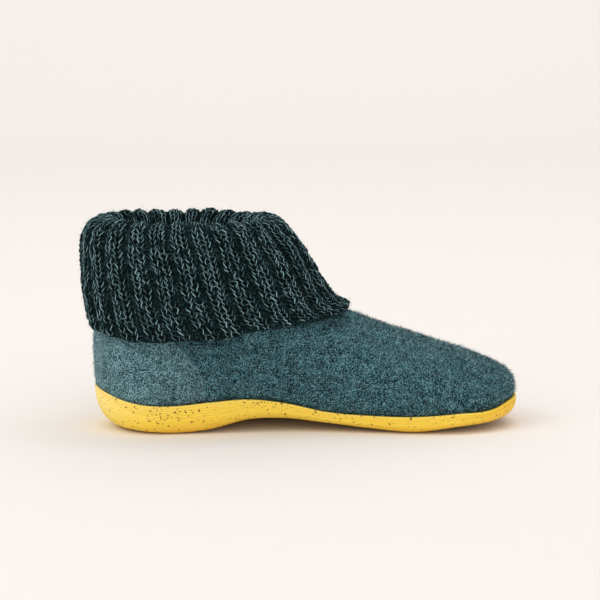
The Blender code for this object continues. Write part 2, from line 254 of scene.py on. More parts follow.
def ring_layout(steps: int) -> tuple[np.ndarray, np.ndarray]:
    """Lays out one closed ring: the heel, the inner side, the toe and back along the outer side.

    Args:
        steps: Steps along each side.

    Returns:
        Stations from 0 at the heel to 1 at the toe, and sides, -1 on the inner side and 1 on the outer one.
    """
    station = (1 - np.cos(np.linspace(0, np.pi, steps + 1))) / 2
    stations = np.concatenate([station, station[-2:0:-1]])
    sides = np.concatenate([-np.ones(steps + 1), np.ones(steps - 1)])
    return stations, sides


def ring_normals(grid: np.ndarray) -> np.ndarray:
    """Finds outward normals of rings that close round the foot.

    Args:
        grid: Points, with a row for each ring and rows going up.

    Returns:
        Unit normals, one for each point.
    """
    along = np.roll(grid, -1, axis=1) - np.roll(grid, 1, axis=1)
    return unit(np.cross(along, np.gradient(grid, axis=0)))


@dataclass(frozen=True)
class LastShape:
    """The last that the shoe is built on: its plan, its arch and the outside of the upper over it."""

    sole_length: float = 262.0
    heel_arc: float = 0.13
    toe_arc_inner: float = 0.21
    toe_arc_outer: float = 0.30
    toe_power: float = 2.4
    toe_lean: float = -7.0
    toe_lean_from: float = 0.55
    collar_power: float = 2.3
    collar_half: float = 36.0
    ridge_arc: float = 0.8
    tread_crown: float = 1.2

    def place(self, x: Numbers) -> Numbers:
        """Share of the sole's length."""
        return np.clip(x / self.sole_length, 0.0, 1.0)

    def end_arcs(self, station: Numbers, toe_arc: Numbers) -> Numbers:
        """Gives the plan outline's fullness.

        Args:
            station: Share of the length.
            toe_arc: Share of the length that the toe's arc takes.

        Returns:
            Share of the full half-width: an arc at each end and 1 between them.
        """
        heel = np.sqrt(1 - np.clip(1 - station / self.heel_arc, 0, 1) ** 2)
        toe = (1 - np.clip(1 - (1 - station) / toe_arc, 0, 1) ** self.toe_power) ** (1 / self.toe_power)
        return heel * toe

    def lean(self, x: Numbers) -> Numbers:
        """Sideways shift of the toe towards the inner side."""
        return self.toe_lean * ease((x / self.sole_length - self.toe_lean_from) / (1 - self.toe_lean_from))

    def foot_half(self, station: Numbers, side: Numbers, level: float = 0.0) -> Numbers:
        """Gives the half-width of the foot outline.

        Args:
            station: Share of the length.
            side: -1 on the inner side, 1 on the outer one.
            level: Height share on the upper; the front arc is longer higher up.

        Returns:
            Half-width in millimetres.
        """
        inner_arc = mix(self.toe_arc_inner, self.ridge_arc, level)
        outer_arc = mix(self.toe_arc_outer, self.ridge_arc, level)
        inner = smooth(station, SECTIONS, "inner_half") * self.end_arcs(station, inner_arc)
        outer = smooth(station, SECTIONS, "outer_half") * self.end_arcs(station, outer_arc)
        return np.where(side < 0, inner, outer)

    def rim_height(self, x: Numbers, side: Numbers) -> Numbers:
        """Height of the sole's rim at a place along one side."""
        inner, outer = (smooth(self.place(x), SECTIONS, name) for name in ("inner_rim", "outer_rim"))
        return np.where(side < 0, inner, outer)

    def across(self, x: Numbers, y: Numbers) -> Numbers:
        """Place across the sole, from its inner edge (0) to its outer edge (1)."""
        inner, outer = (smooth(self.place(x), SECTIONS, name) for name in ("inner_half", "outer_half"))
        return np.clip((y - self.lean(x) + inner) / (inner + outer), 0.0, 1.0)

    def vault_height(self, x: Numbers, y: Numbers) -> Numbers:
        """Height of the arched sheet that the sole's underside and floor follow."""
        inner, outer = (smooth(self.place(x), SECTIONS, name) for name in ("inner_tread", "outer_tread"))
        return mix(inner, outer, ease(self.across(x, y)))

    def tread_height(self, x: Numbers, y: Numbers) -> Numbers:
        """Height of the sole's underside: the vault, worn to flat spots on the floor."""
        across = self.across(x, y)
        return np.maximum(0.0, self.vault_height(x, y) - self.tread_crown * 4 * across * (1 - across))

    def bed_height(self, x: Numbers, y: Numbers) -> Numbers:
        """Height of the floor of the sole's cup."""
        return self.vault_height(x, y) + smooth(self.place(x), SECTIONS, "thickness")

    def foot_ring(self, heel: float, toe: float, side: float, stations: np.ndarray,
                  sides: np.ndarray) -> tuple[np.ndarray, np.ndarray]:
        """Draws the foot outline at the rim, drawn in by the given amounts.

        Args:
            heel: Inset at the heel.
            toe: Inset at the toe.
            side: Inset along the sides.
            stations: Shares of the length.
            sides: -1 on the inner side, 1 on the outer one.

        Returns:
            x and y of the ring.
        """
        x = mix(UPPER_RINGS[0].back_x + heel, UPPER_RINGS[0].front_x - toe, stations)
        toe_arc = np.where(sides < 0, self.toe_arc_inner, self.toe_arc_outer)
        half = self.foot_half(stations, sides) - side * self.end_arcs(stations, toe_arc)
        return x, self.lean(x) + sides * half

    def rim_ring(self, inset: float, drop: float, stations: np.ndarray, sides: np.ndarray) -> np.ndarray:
        """Foot outline, drawn in evenly, at a drop below the sole's rim."""
        x, y = self.foot_ring(inset, inset, inset, stations, sides)
        return np.stack([x, y, self.rim_height(x, sides) - drop], axis=-1)

    def bed_ring(self, inset: float, rise: float, stations: np.ndarray, sides: np.ndarray) -> np.ndarray:
        """Foot outline, drawn in evenly, at a rise over the floor of the sole's cup."""
        x, y = self.foot_ring(inset, inset, inset, stations, sides)
        return np.stack([x, y, self.bed_height(x, y) + rise], axis=-1)

    def upper_points(self, level: float, station: Numbers, side: Numbers) -> np.ndarray:
        """Finds points on the outside of the upper.

        Args:
            level: 0 at the rim, 1 at the collar.
            station: Shares of the ring's length.
            side: -1 on the inner side, 1 on the outer one.

        Returns:
            Points in millimetres.
        """
        row = {name: smooth(level, UPPER_RINGS, name) for name in UpperRing._fields[1:]}
        x = mix(row["back_x"], row["front_x"], station)
        foot = self.foot_half(station, side, level) * row["fullness"]
        half = mix(foot, self.collar_half * oval(station, self.collar_power), row["collar"])
        straight = mix(UPPER_RINGS[0].back_z, UPPER_RINGS[0].front_z, x / self.sole_length)
        z = mix(row["back_z"], row["front_z"], station) + row["wave"] * (self.rim_height(x, side) - straight)
        return np.stack([x, self.lean(x) * (1 - row["collar"]) + side * half, z], axis=-1)


LAST = LastShape()


def last_origin(steps: int) -> np.ndarray:
    """Finds where the last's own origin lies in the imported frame.

    Args:
        steps: Steps along each side of the outline that is measured.

    Returns:
        Position in metres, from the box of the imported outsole.
    """
    low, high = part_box("outsole")
    stations, sides = ring_layout(steps)
    grown = -Outsole.rim_wall
    x, y = LAST.foot_ring(grown, grown, grown - Outsole.wall_bulge, stations, sides)
    return np.array([low[0] - x.min() * MM, (low[1] + high[1] - (y.min() + y.max()) * MM) / 2, low[2]])


@dataclass(frozen=True)
class Ripples:
    """Seeded smooth unevenness of a soft surface: a sum of plane waves."""

    seed: int
    wave: float
    height: float
    count: int = 24
    wave_range: tuple[float, float] = (0.7, 1.4)

    def at(self, points: np.ndarray) -> np.ndarray:
        """Reads the unevenness.

        Args:
            points: Points in millimetres.

        Returns:
            Heights in millimetres.
        """
        rng = np.random.default_rng(self.seed)
        total = np.zeros(points.shape[:-1])
        for _ in range(self.count):
            direction = unit(rng.normal(size=3)) * FULL_TURN / (self.wave * rng.uniform(*self.wave_range))
            total += np.cos(points @ direction + rng.uniform(0, FULL_TURN))
        return self.height * total / math.sqrt(self.count / 2)


@dataclass
class MeshDraft:
    """A mesh in the last's frame, before it becomes an object."""

    name: str
    points: np.ndarray
    quads: np.ndarray
    triangles: np.ndarray = field(default_factory=lambda: np.zeros((0, 3), int))
    corner_uv: np.ndarray | None = None
    tint: np.ndarray | None = None

    def build(self, material: bpy.types.Material, node: str, slot: str) -> bpy.types.Object:
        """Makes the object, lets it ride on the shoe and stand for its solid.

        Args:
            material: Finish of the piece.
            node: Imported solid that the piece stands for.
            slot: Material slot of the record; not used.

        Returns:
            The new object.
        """
        mesh = bpy.data.meshes.new(self.name)
        mesh.vertices.add(len(self.points))
        mesh.vertices.foreach_set("co", (self.points * MM + ORIGIN).astype(np.float32).ravel())
        corners = np.concatenate([self.quads.ravel(), self.triangles.ravel()])
        starts = np.concatenate([
            np.arange(len(self.quads)) * 4,
            self.quads.size + np.arange(len(self.triangles)) * 3,
        ])
        mesh.loops.add(len(corners))
        mesh.loops.foreach_set("vertex_index", corners.astype(np.int32))
        mesh.polygons.add(len(starts))
        mesh.polygons.foreach_set("loop_start", starts.astype(np.int32))
        mesh.polygons.foreach_set("use_smooth", np.ones(len(starts), bool))
        mesh.update(calc_edges=True)
        if self.corner_uv is not None:
            layer = mesh.uv_layers.new(name="along_yarn")
            layer.data.foreach_set("uv", self.corner_uv.astype(np.float32).ravel())
        if self.tint is not None:
            tint = mesh.attributes.new("tint", "FLOAT", "POINT")
            tint.data.foreach_set("value", self.tint.astype(np.float32))
        mesh.materials.append(material)
        piece = bpy.data.objects.new(self.name, mesh)
        bpy.context.scene.collection.objects.link(piece)
        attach(piece, "root")
        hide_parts(node)
        return piece


def band_quads(rows: int, columns: int, close_rows: bool, close_columns: bool = True) -> np.ndarray:
    """Lists the quads of a grid of points.

    Args:
        rows: Number of rings.
        columns: Points in each ring.
        close_rows: Whether the last ring joins the first.
        close_columns: Whether each ring is closed.

    Returns:
        Point numbers, four for each quad.
    """
    row = np.arange(rows if close_rows else rows - 1)[:, None]
    place = np.arange(columns if close_columns else columns - 1)[None, :]
    low, high = row * columns, (row + 1) % rows * columns
    following = (place + 1) % columns
    return np.stack([low + place, low + following, high + following, high + place], axis=-1).reshape(-1, 4)


def fill_ring(first: int, ring: np.ndarray, start: int, columns: np.ndarray,
              height: Surface) -> tuple[np.ndarray, np.ndarray, np.ndarray]:
    """Fills one ring with rows of points from its inner side to its outer side.

    Args:
        first: Number of the ring's first point.
        ring: Points of the ring.
        start: Number that the first new point takes.
        columns: Shares of the width where new points lie.
        height: Surface that gives their heights.

    Returns:
        New points, quads and triangles.
    """
    steps = len(ring) // 2
    inner = ring[1:steps, None, :2]
    outer = ring[:steps:-1, None, :2]
    plan = mix(inner, outer, columns[None, :, None])
    made = np.concatenate([plan, height(plan[..., 0], plan[..., 1])[..., None]], axis=-1)
    numbers = start + np.arange(made.shape[0] * made.shape[1]).reshape(made.shape[:2])
    step = np.arange(1, steps)[:, None]
    numbers = np.concatenate([first + step, numbers, first + len(ring) - step], axis=1)
    quads = np.stack([numbers[:-1, :-1], numbers[:-1, 1:], numbers[1:, 1:], numbers[1:, :-1]], axis=-1)
    ends = []
    for tip, row in ((first, numbers[0]), (first + steps, numbers[-1][::-1])):
        ends += [(tip, here, there) for here, there in zip(row[1:], row[:-1])]
    return made.reshape(-1, 3), quads.reshape(-1, 4), np.array(ends)


def close_rings(rings: np.ndarray, below: Surface, above: Surface,
                across: int) -> tuple[np.ndarray, np.ndarray, np.ndarray]:
    """Joins rings into a band, and fills the first ring and the last one.

    Args:
        rings: Points, a row for each closed ring.
        below: Heights inside the first ring.
        above: Heights inside the last ring.
        across: New points in each row across a ring.

    Returns:
        Points, quads and triangles; the points inside the first ring come straight after those of the rings.
    """
    count = rings.shape[1]
    columns = np.linspace(0, 1, across + 2)[1:-1]
    points, quads, triangles = [rings.reshape(-1, 3)], [band_quads(len(rings), count, False)], []
    made = len(points[0])
    for ring, height, turn in ((0, below, 1), (len(rings) - 1, above, -1)):
        extra, more, ends = fill_ring(ring * count, rings[ring], made, columns, height)
        points.append(extra)
        quads.append(more[:, ::turn])
        triangles.append(ends[:, ::turn])
        made += len(extra)
    return np.concatenate(points), np.concatenate(quads), np.concatenate(triangles)


def linear(colour: str) -> tuple[float, float, float, float]:
    """Turns an sRGB hex colour into linear light.

    Args:
        colour: Such as "#3c595f".

    Returns:
        Red, green, blue and full opacity.
    """
    shares = [int(colour[place:place + 2], 16) / 255 for place in (1, 3, 5)]
    red, green, blue = (c / 12.92 if c <= 0.04045 else ((c + 0.055) / 1.055) ** 2.4 for c in shares)
    return red, green, blue, 1.0


def per_metre(size_mm: float) -> float:
    """Texture scale at which one feature is size_mm wide."""
    return 1 / (size_mm * MM)


def add_node(tree: bpy.types.NodeTree, kind: str, values: dict | None = None, links: dict | None = None,
             stops: Sequence[tuple[float, str]] = (), **settings: Any) -> bpy.types.Node:
    """Adds one shader node.

    Args:
        tree: Node tree of the material.
        kind: Blender's name of the node type.
        values: Values of input sockets, by name or number.
        links: Output sockets that feed input sockets, by name or number.
        stops: Places and hex colours of a colour ramp.
        **settings: Properties of the node.

    Returns:
        The node.
    """
    node = tree.nodes.new(kind)
    for name, value in settings.items():
        setattr(node, name, value)
    for place, value in (values or {}).items():
        node.inputs[place].default_value = value
    for place, socket in (links or {}).items():
        tree.links.new(socket, node.inputs[place])
    if stops:
        ramp = node.color_ramp.elements
        while len(ramp) < len(stops):
            ramp.new(1.0)
        for element, (place, colour) in zip(ramp, stops):
            element.position = place
            element.color = linear(colour)
    return node


def new_material(name: str) -> tuple[bpy.types.Material, bpy.types.NodeTree, bpy.types.Node]:
    """Starts a material.

    Args:
        name: Plain name of the real material.

    Returns:
        The material, its node tree and its Principled shader.
    """
    material = bpy.data.materials.new(name)
    material.use_nodes = True
    return material, material.node_tree, material.node_tree.nodes["Principled BSDF"]


def set_sockets(shader: bpy.types.Node, values: dict[str, Any]) -> None:
    """Sets values that are the same all over a surface.

    Args:
        shader: Shader of a material or of the world.
        values: Socket names and values.
    """
    for name, value in values.items():
        shader.inputs[name].default_value = value


@dataclass(frozen=True)
class WoolFelt:
    """Fulled wool cloth: matted heather fibres with no weave showing, dull, with a soft pale nap."""

    name: str
    dark: str
    middle: str
    light: str
    fibre: str
    tone_stops: tuple[float, float, float] = (0.43, 0.51, 0.588)
    grain_mm: float = 0.78
    fibre_mm: float = 2.4
    fibre_half: float = 0.045
    fibre_share: float = 0.16
    fibre_height: float = 0.6
    patch_mm: float = 6.0
    patch_tone: float = 0.16
    cloud_mm: float = 32.0
    cloud_tone: float = 0.06
    bump_mm: float = 0.5
    roughness: float = 0.95
    sheen: float = 0.04

    def material(self) -> bpy.types.Material:
        """Makes the felt: heather grain, loose lighter fibres, patches and slow clouds of tone.

        Returns:
            The material.
        """
        material, tree, shader = new_material(self.name)
        place = add_node(tree, "ShaderNodeTexCoord").outputs["Object"]
        # The real grain is finer; this is as coarse as the picture needs to show it.
        noises = (
            (self.grain_mm, {"Detail": 2.2, "Roughness": 0.75}),
            (self.fibre_mm, {"Detail": 1.0, "Distortion": 2.2}),
            (self.patch_mm, {"Detail": 2.0}),
            (self.cloud_mm, {"Detail": 1.0}),
        )
        grain, curls, patch, cloud = (
            add_node(tree, "ShaderNodeTexNoise", {"Scale": per_metre(size), **values},
                     {"Vector": place}).outputs["Fac"]
            for size, values in noises)
        off_line = add_node(tree, "ShaderNodeMath", {1: 0.5}, {0: curls}, operation="SUBTRACT").outputs[0]
        distance = add_node(tree, "ShaderNodeMath", links={0: off_line}, operation="ABSOLUTE").outputs[0]
        fibre = add_node(tree, "ShaderNodeMapRange", {
            "From Min": 0.0, "From Max": self.fibre_half, "To Min": self.fibre_share, "To Max": 0.0},
            {"Value": distance}).outputs[0]
        tone = add_node(tree, "ShaderNodeMath", {1: self.patch_tone, 2: -self.patch_tone / 2}, {0: patch},
                        operation="MULTIPLY_ADD").outputs[0]
        mottled = add_node(tree, "ShaderNodeMath", links={0: grain, 1: tone}, operation="ADD").outputs[0]
        stops = tuple(zip(self.tone_stops, (self.dark, self.middle, self.light)))
        heather = add_node(tree, "ShaderNodeValToRGB", links={0: mottled}, stops=stops).outputs["Color"]
        with_fibres = add_node(tree, "ShaderNodeMix", {"B": linear(self.fibre)},
                               {"Factor": fibre, "A": heather}, data_type="RGBA").outputs["Result"]
        level = add_node(tree, "ShaderNodeMapRange", {
            "From Min": 0.3, "From Max": 0.7, "To Min": 1 - self.cloud_tone, "To Max": 1 + self.cloud_tone},
            {"Value": cloud}).outputs[0]
        # The tint attribute carries painted light and shade set by each piece, added to the random clouds of
        # tone.
        tint = add_node(tree, "ShaderNodeAttribute", attribute_name="tint").outputs["Fac"]
        cloud_and_painted_light = add_node(tree, "ShaderNodeMath", links={0: tint, 1: level}, operation="ADD").outputs[0]
        colour = add_node(tree, "ShaderNodeVectorMath", links={0: with_fibres, 1: cloud_and_painted_light},
                          operation="MULTIPLY").outputs[0]
        tree.links.new(colour, shader.inputs["Base Color"])
        height = add_node(tree, "ShaderNodeMath", {1: self.fibre_height}, {0: fibre, 2: mottled},
                          operation="MULTIPLY_ADD").outputs[0]
        bump = add_node(tree, "ShaderNodeBump", {"Strength": 0.7, "Distance": self.bump_mm * MM},
                        {"Height": height}).outputs["Normal"]
        tree.links.new(bump, shader.inputs["Normal"])
        set_sockets(shader, {"Roughness": self.roughness, "Specular IOR Level": 0.15,
                             "Sheen Weight": self.sheen, "Sheen Roughness": 0.5})
        return material


@dataclass(frozen=True)
class WoolFibre:
    """Loose ends of wool that stand off a fabric: thin, pale against the light."""

    name: str
    dark: str
    light: str

    def material(self) -> bpy.types.Material:
        """Makes the fibres, each with its own tone.

        Returns:
            The material.
        """
        material, tree, shader = new_material(self.name)
        tint = add_node(tree, "ShaderNodeAttribute", attribute_name="tint").outputs["Fac"]
        tone = add_node(tree, "ShaderNodeValToRGB", links={0: tint},
                        stops=((0.0, self.dark), (1.0, self.light))).outputs["Color"]
        tree.links.new(tone, shader.inputs["Base Color"])
        set_sockets(shader, {"Roughness": 0.9, "Specular IOR Level": 0.1})
        return material


@dataclass(frozen=True)
class WoolYarn:
    """Plied wool yarn: nearly black-green, with thin pale strands that wind along it."""

    name: str = "rib_knit_yarn"
    dark: str = "#010d0f"
    middle: str = "#082a30"
    strand: str = "#98bfc4"
    tone_stops: tuple[float, float, float] = (0.31, 0.57, 0.80)
    strands_round: float = 8.0
    strands_along: float = 1.7
    strand_depth_mm: float = 0.15
    twist: float = 0.3
    tone_mm: float = 9.0
    tone_share: float = 0.15
    raised_paler: float = 0.5
    pale_from: float = 0.62

    def material(self) -> bpy.types.Material:
        """Makes the yarn: strands follow its length and slant round it.

        Returns:
            The material.
        """
        material, tree, shader = new_material(self.name)
        along = add_node(tree, "ShaderNodeUVMap", uv_map="along_yarn").outputs["UV"]
        turned = add_node(tree, "ShaderNodeMapping", {
            "Scale": (self.strands_round, self.strands_along, 1.0), "Rotation": (0.0, 0.0, self.twist)},
            {"Vector": along}).outputs["Vector"]
        strands = add_node(tree, "ShaderNodeTexNoise", {"Scale": 1.0, "Detail": 1.0},
                           {"Vector": turned}, noise_dimensions="2D").outputs["Fac"]
        place = add_node(tree, "ShaderNodeTexCoord").outputs["Object"]
        tone = add_node(tree, "ShaderNodeTexNoise", {"Scale": per_metre(self.tone_mm), "Detail": 1.0},
                        {"Vector": place}).outputs["Fac"]
        # Painted light and shade from the tint attribute: raised loops and the yarn's outward side paler, rib
        # grooves and the hem darker.
        raised = add_node(tree, "ShaderNodeAttribute", attribute_name="tint").outputs["Fac"]
        painted_light = add_node(tree, "ShaderNodeMath",
                        {1: self.raised_paler, 2: -self.pale_from * self.raised_paler}, {0: raised},
                        operation="MULTIPLY_ADD").outputs[0]
        shifted = add_node(tree, "ShaderNodeMath", {1: self.tone_share}, {0: tone, 2: painted_light},
                           operation="MULTIPLY_ADD").outputs[0]
        level = add_node(tree, "ShaderNodeMath", links={0: strands, 1: shifted}, operation="ADD").outputs[0]
        stops = tuple(zip(self.tone_stops, (self.dark, self.middle, self.strand)))
        colour = add_node(tree, "ShaderNodeValToRGB", links={0: level}, stops=stops).outputs["Color"]
        tree.links.new(colour, shader.inputs["Base Color"])
        bump = add_node(tree, "ShaderNodeBump", {"Strength": 0.6, "Distance": self.strand_depth_mm * MM},
                        {"Height": strands}).outputs["Normal"]
        tree.links.new(bump, shader.inputs["Normal"])
        set_sockets(shader, {"Roughness": 0.85, "Specular IOR Level": 0.1, "Sheen Weight": 0.03,
                             "Sheen Roughness": 0.5})
        return material


@dataclass(frozen=True)
class SpeckledRubber:
    """Moulded natural rubber with ground cork in it: matt warm yellow, flecked brown, faintly streaked."""

    name: str = "speckled_rubber"
    # Painted light in the tone ramp: under is painted shade on the underside, deep the shaded low wall and
    # toe, pale the lit rim and heel; body is the rubber's own yellow.
    under: str = "#d0a440"
    deep: str = "#f2b82c"
    body: str = "#ffda4a"
    pale: str = "#ffe890"
    speck: str = "#644416"
    tone_stops: tuple[float, float, float, float] = (0.0, 0.12, 0.5, 1.0)
    streak_mm: float = 0.9
    streak_length_mm: float = 24.0
    streak_tone: float = 0.22
    streak_depth_mm: float = 0.2
    speck_cell_mm: float = 1.3
    speck_stretch: float = 0.62
    speck_radius: float = 0.38
    speck_edge: float = 0.05
    speck_cover: float = 0.95
    bare_cells: float = 0.28
    full_cells: float = 0.9
    warp_mm: float = 1.4
    warp_cell_mm: float = 1.1

    def material(self) -> bpy.types.Material:
        """Makes the rubber: streaks run lengthwise, and specks are longer than they are high.

        Returns:
            The material.
        """
        material, tree, shader = new_material(self.name)
        place = add_node(tree, "ShaderNodeTexCoord").outputs["Object"]
        tint = add_node(tree, "ShaderNodeAttribute", attribute_name="tint").outputs["Fac"]
        lengthwise = per_metre(self.streak_length_mm)
        drawn_out = add_node(tree, "ShaderNodeMapping",
                             {"Scale": (lengthwise, lengthwise, per_metre(self.streak_mm))},
                             {"Vector": place}).outputs["Vector"]
        streaks = add_node(tree, "ShaderNodeTexNoise", {"Scale": 1.0, "Detail": 3.0},
                           {"Vector": drawn_out}).outputs["Fac"]
        shade = add_node(tree, "ShaderNodeMath", {1: self.streak_tone, 2: -self.streak_tone / 2},
                         {0: streaks}, operation="MULTIPLY_ADD").outputs[0]
        tone = add_node(tree, "ShaderNodeMath", links={0: tint, 1: shade}, operation="ADD").outputs[0]
        stops = tuple(zip(self.tone_stops, (self.under, self.deep, self.body, self.pale)))
        yellow = add_node(tree, "ShaderNodeValToRGB", links={0: tone}, stops=stops).outputs["Color"]
        wobble = add_node(tree, "ShaderNodeTexNoise", {"Scale": per_metre(self.warp_cell_mm), "Detail": 2.0},
                          {"Vector": place}).outputs["Color"]
        moved = add_node(tree, "ShaderNodeVectorMath", {1: (self.warp_mm * MM,) * 3}, {0: wobble, 2: place},
                         operation="MULTIPLY_ADD").outputs[0]
        long_cells = add_node(tree, "ShaderNodeMapping",
                              {"Scale": (self.speck_stretch, self.speck_stretch, 1.0)},
                              {"Vector": moved}).outputs["Vector"]
        cells = add_node(tree, "ShaderNodeTexVoronoi", {"Scale": per_metre(self.speck_cell_mm)},
                         {"Vector": long_cells})
        size = add_node(tree, "ShaderNodeMapRange", {
            "From Min": self.bare_cells, "From Max": self.full_cells, "To Min": 0.0,
            "To Max": self.speck_radius}, {"Value": cells.outputs["Color"]}).outputs[0]
        inside = add_node(tree, "ShaderNodeMath", links={0: size, 1: cells.outputs["Distance"]},
                          operation="SUBTRACT").outputs[0]
        speck = add_node(tree, "ShaderNodeMapRange", {
            "From Min": 0.0, "From Max": self.speck_edge, "To Min": 0.0, "To Max": self.speck_cover},
            {"Value": inside}).outputs[0]
        colour = add_node(tree, "ShaderNodeMix", {"B": linear(self.speck)}, {"Factor": speck, "A": yellow},
                          data_type="RGBA").outputs["Result"]
        tree.links.new(colour, shader.inputs["Base Color"])
        bump = add_node(tree, "ShaderNodeBump", {"Strength": 0.35, "Distance": self.streak_depth_mm * MM},
                        {"Height": streaks}).outputs["Normal"]
        tree.links.new(bump, shader.inputs["Normal"])
        set_sockets(shader, {"Roughness": 0.55, "IOR": 1.52, "Specular IOR Level": 0.35})
        return material


BOILED_WOOL = WoolFelt("boiled_wool", "#000f17", "#113e49", "#6a9fa8", "#84b1b9")
COUNTER_FELT = WoolFelt("counter_felt", "#143138", "#406872", "#8cb6bc", "#98bcc1",
                        fibre_share=0.09, bump_mm=0.3, sheen=0.14)
FOOTBED_FELT = WoolFelt("footbed_felt", "#4a4f4e", "#6e7473", "#9aa09e", "#b3b8b6", bump_mm=0.4)
# Painted shade: near-black felt for the sheet under the stitches, where only shade shows.
KNIT_SHADE_SHEET = WoolFelt("knit_shade_sheet", "#030807", "#081211", "#101d1c", "#142422", bump_mm=0.2, sheen=0.0)
FELT_NAP = WoolFibre("felt_nap", "#0f2f38", "#c4f1f8")
KNIT_NAP = WoolFibre("knit_nap", "#0b2122", "#759b9e")


@dataclass(frozen=True)
class Fuzz:
    """Loose fibre ends on a fabric, joined into one mesh of ribbons; more spread leaves fewer pale ones."""

    name: str
    length: float
    lift: float
    width: float
    seed: int = 5
    spread: float = 1.3
    least_lift: float = 0.15
    lift_power: float = 1.5
    curl: float = 0.9
    curl_lift: float = 0.15
    length_range: tuple[float, float] = (0.5, 1.3)
    rooted: float = 0.1
    taper: tuple[float, float, float] = (1.0, 0.8, 0.3)

    def draft(self, roots: np.ndarray, normals: np.ndarray) -> MeshDraft:
        """Grows one curved ribbon from each root.

        Args:
            roots: Points on the fabric.
            normals: Outward directions there.

        Returns:
            The joined ribbons.
        """
        rng = np.random.default_rng(self.seed)
        count = len(roots)
        flat = rng.normal(size=(count, 3))
        flat = unit(flat - np.sum(flat * normals, axis=1, keepdims=True) * normals)
        rise = self.lift * rng.uniform(self.least_lift, 1.0, (count, 1)) ** self.lift_power
        first = unit(flat + rise * normals)
        second = unit(first + self.curl * rng.normal(size=(count, 3)) + self.curl_lift * normals)
        half = 0.5 * self.length * rng.uniform(*self.length_range, (count, 1))
        across = unit(np.cross(first, rng.normal(size=(count, 3)))) * self.width / 2
        spine = (roots - self.rooted * normals, roots + half * first, roots + half * (first + second))
        points = np.stack([point + side * share * across for point, share in zip(spine, self.taper)
                           for side in (-1, 1)], axis=1)
        corners = points.shape[1]
        start = np.arange(count)[:, None] * corners
        quads = np.concatenate([start + np.array([0, 1, 3, 2]), start + np.array([2, 3, 5, 4])])
        tint = np.repeat(rng.uniform(0, 1, count) ** self.spread, corners)
        return MeshDraft(self.name, points.reshape(-1, 3), quads, tint=tint)


def scatter(grid: np.ndarray, normals: np.ndarray, count: int, seed: int) -> tuple[np.ndarray, np.ndarray]:
    """Picks random points on rings of a surface, evenly by area.

    Args:
        grid: Points, a row for each closed ring.
        normals: Outward directions.
        count: How many points to pick.
        seed: Seed of the random draw.

    Returns:
        Points and their normals.
    """
    rng = np.random.default_rng(seed)
    quads = band_quads(grid.shape[0], grid.shape[1], False)
    corners = grid.reshape(-1, 3)[quads]
    area = np.linalg.norm(np.cross(corners[:, 2] - corners[:, 0], corners[:, 3] - corners[:, 1]), axis=1)
    picked = rng.choice(len(quads), count, p=area / area.sum())
    u, v = rng.uniform(size=(2, count, 1))
    chosen = corners[picked]
    places = mix(mix(chosen[:, 0], chosen[:, 1], u), mix(chosen[:, 3], chosen[:, 2], u), v)
    return places, normals.reshape(-1, 3)[quads[picked, 0]]


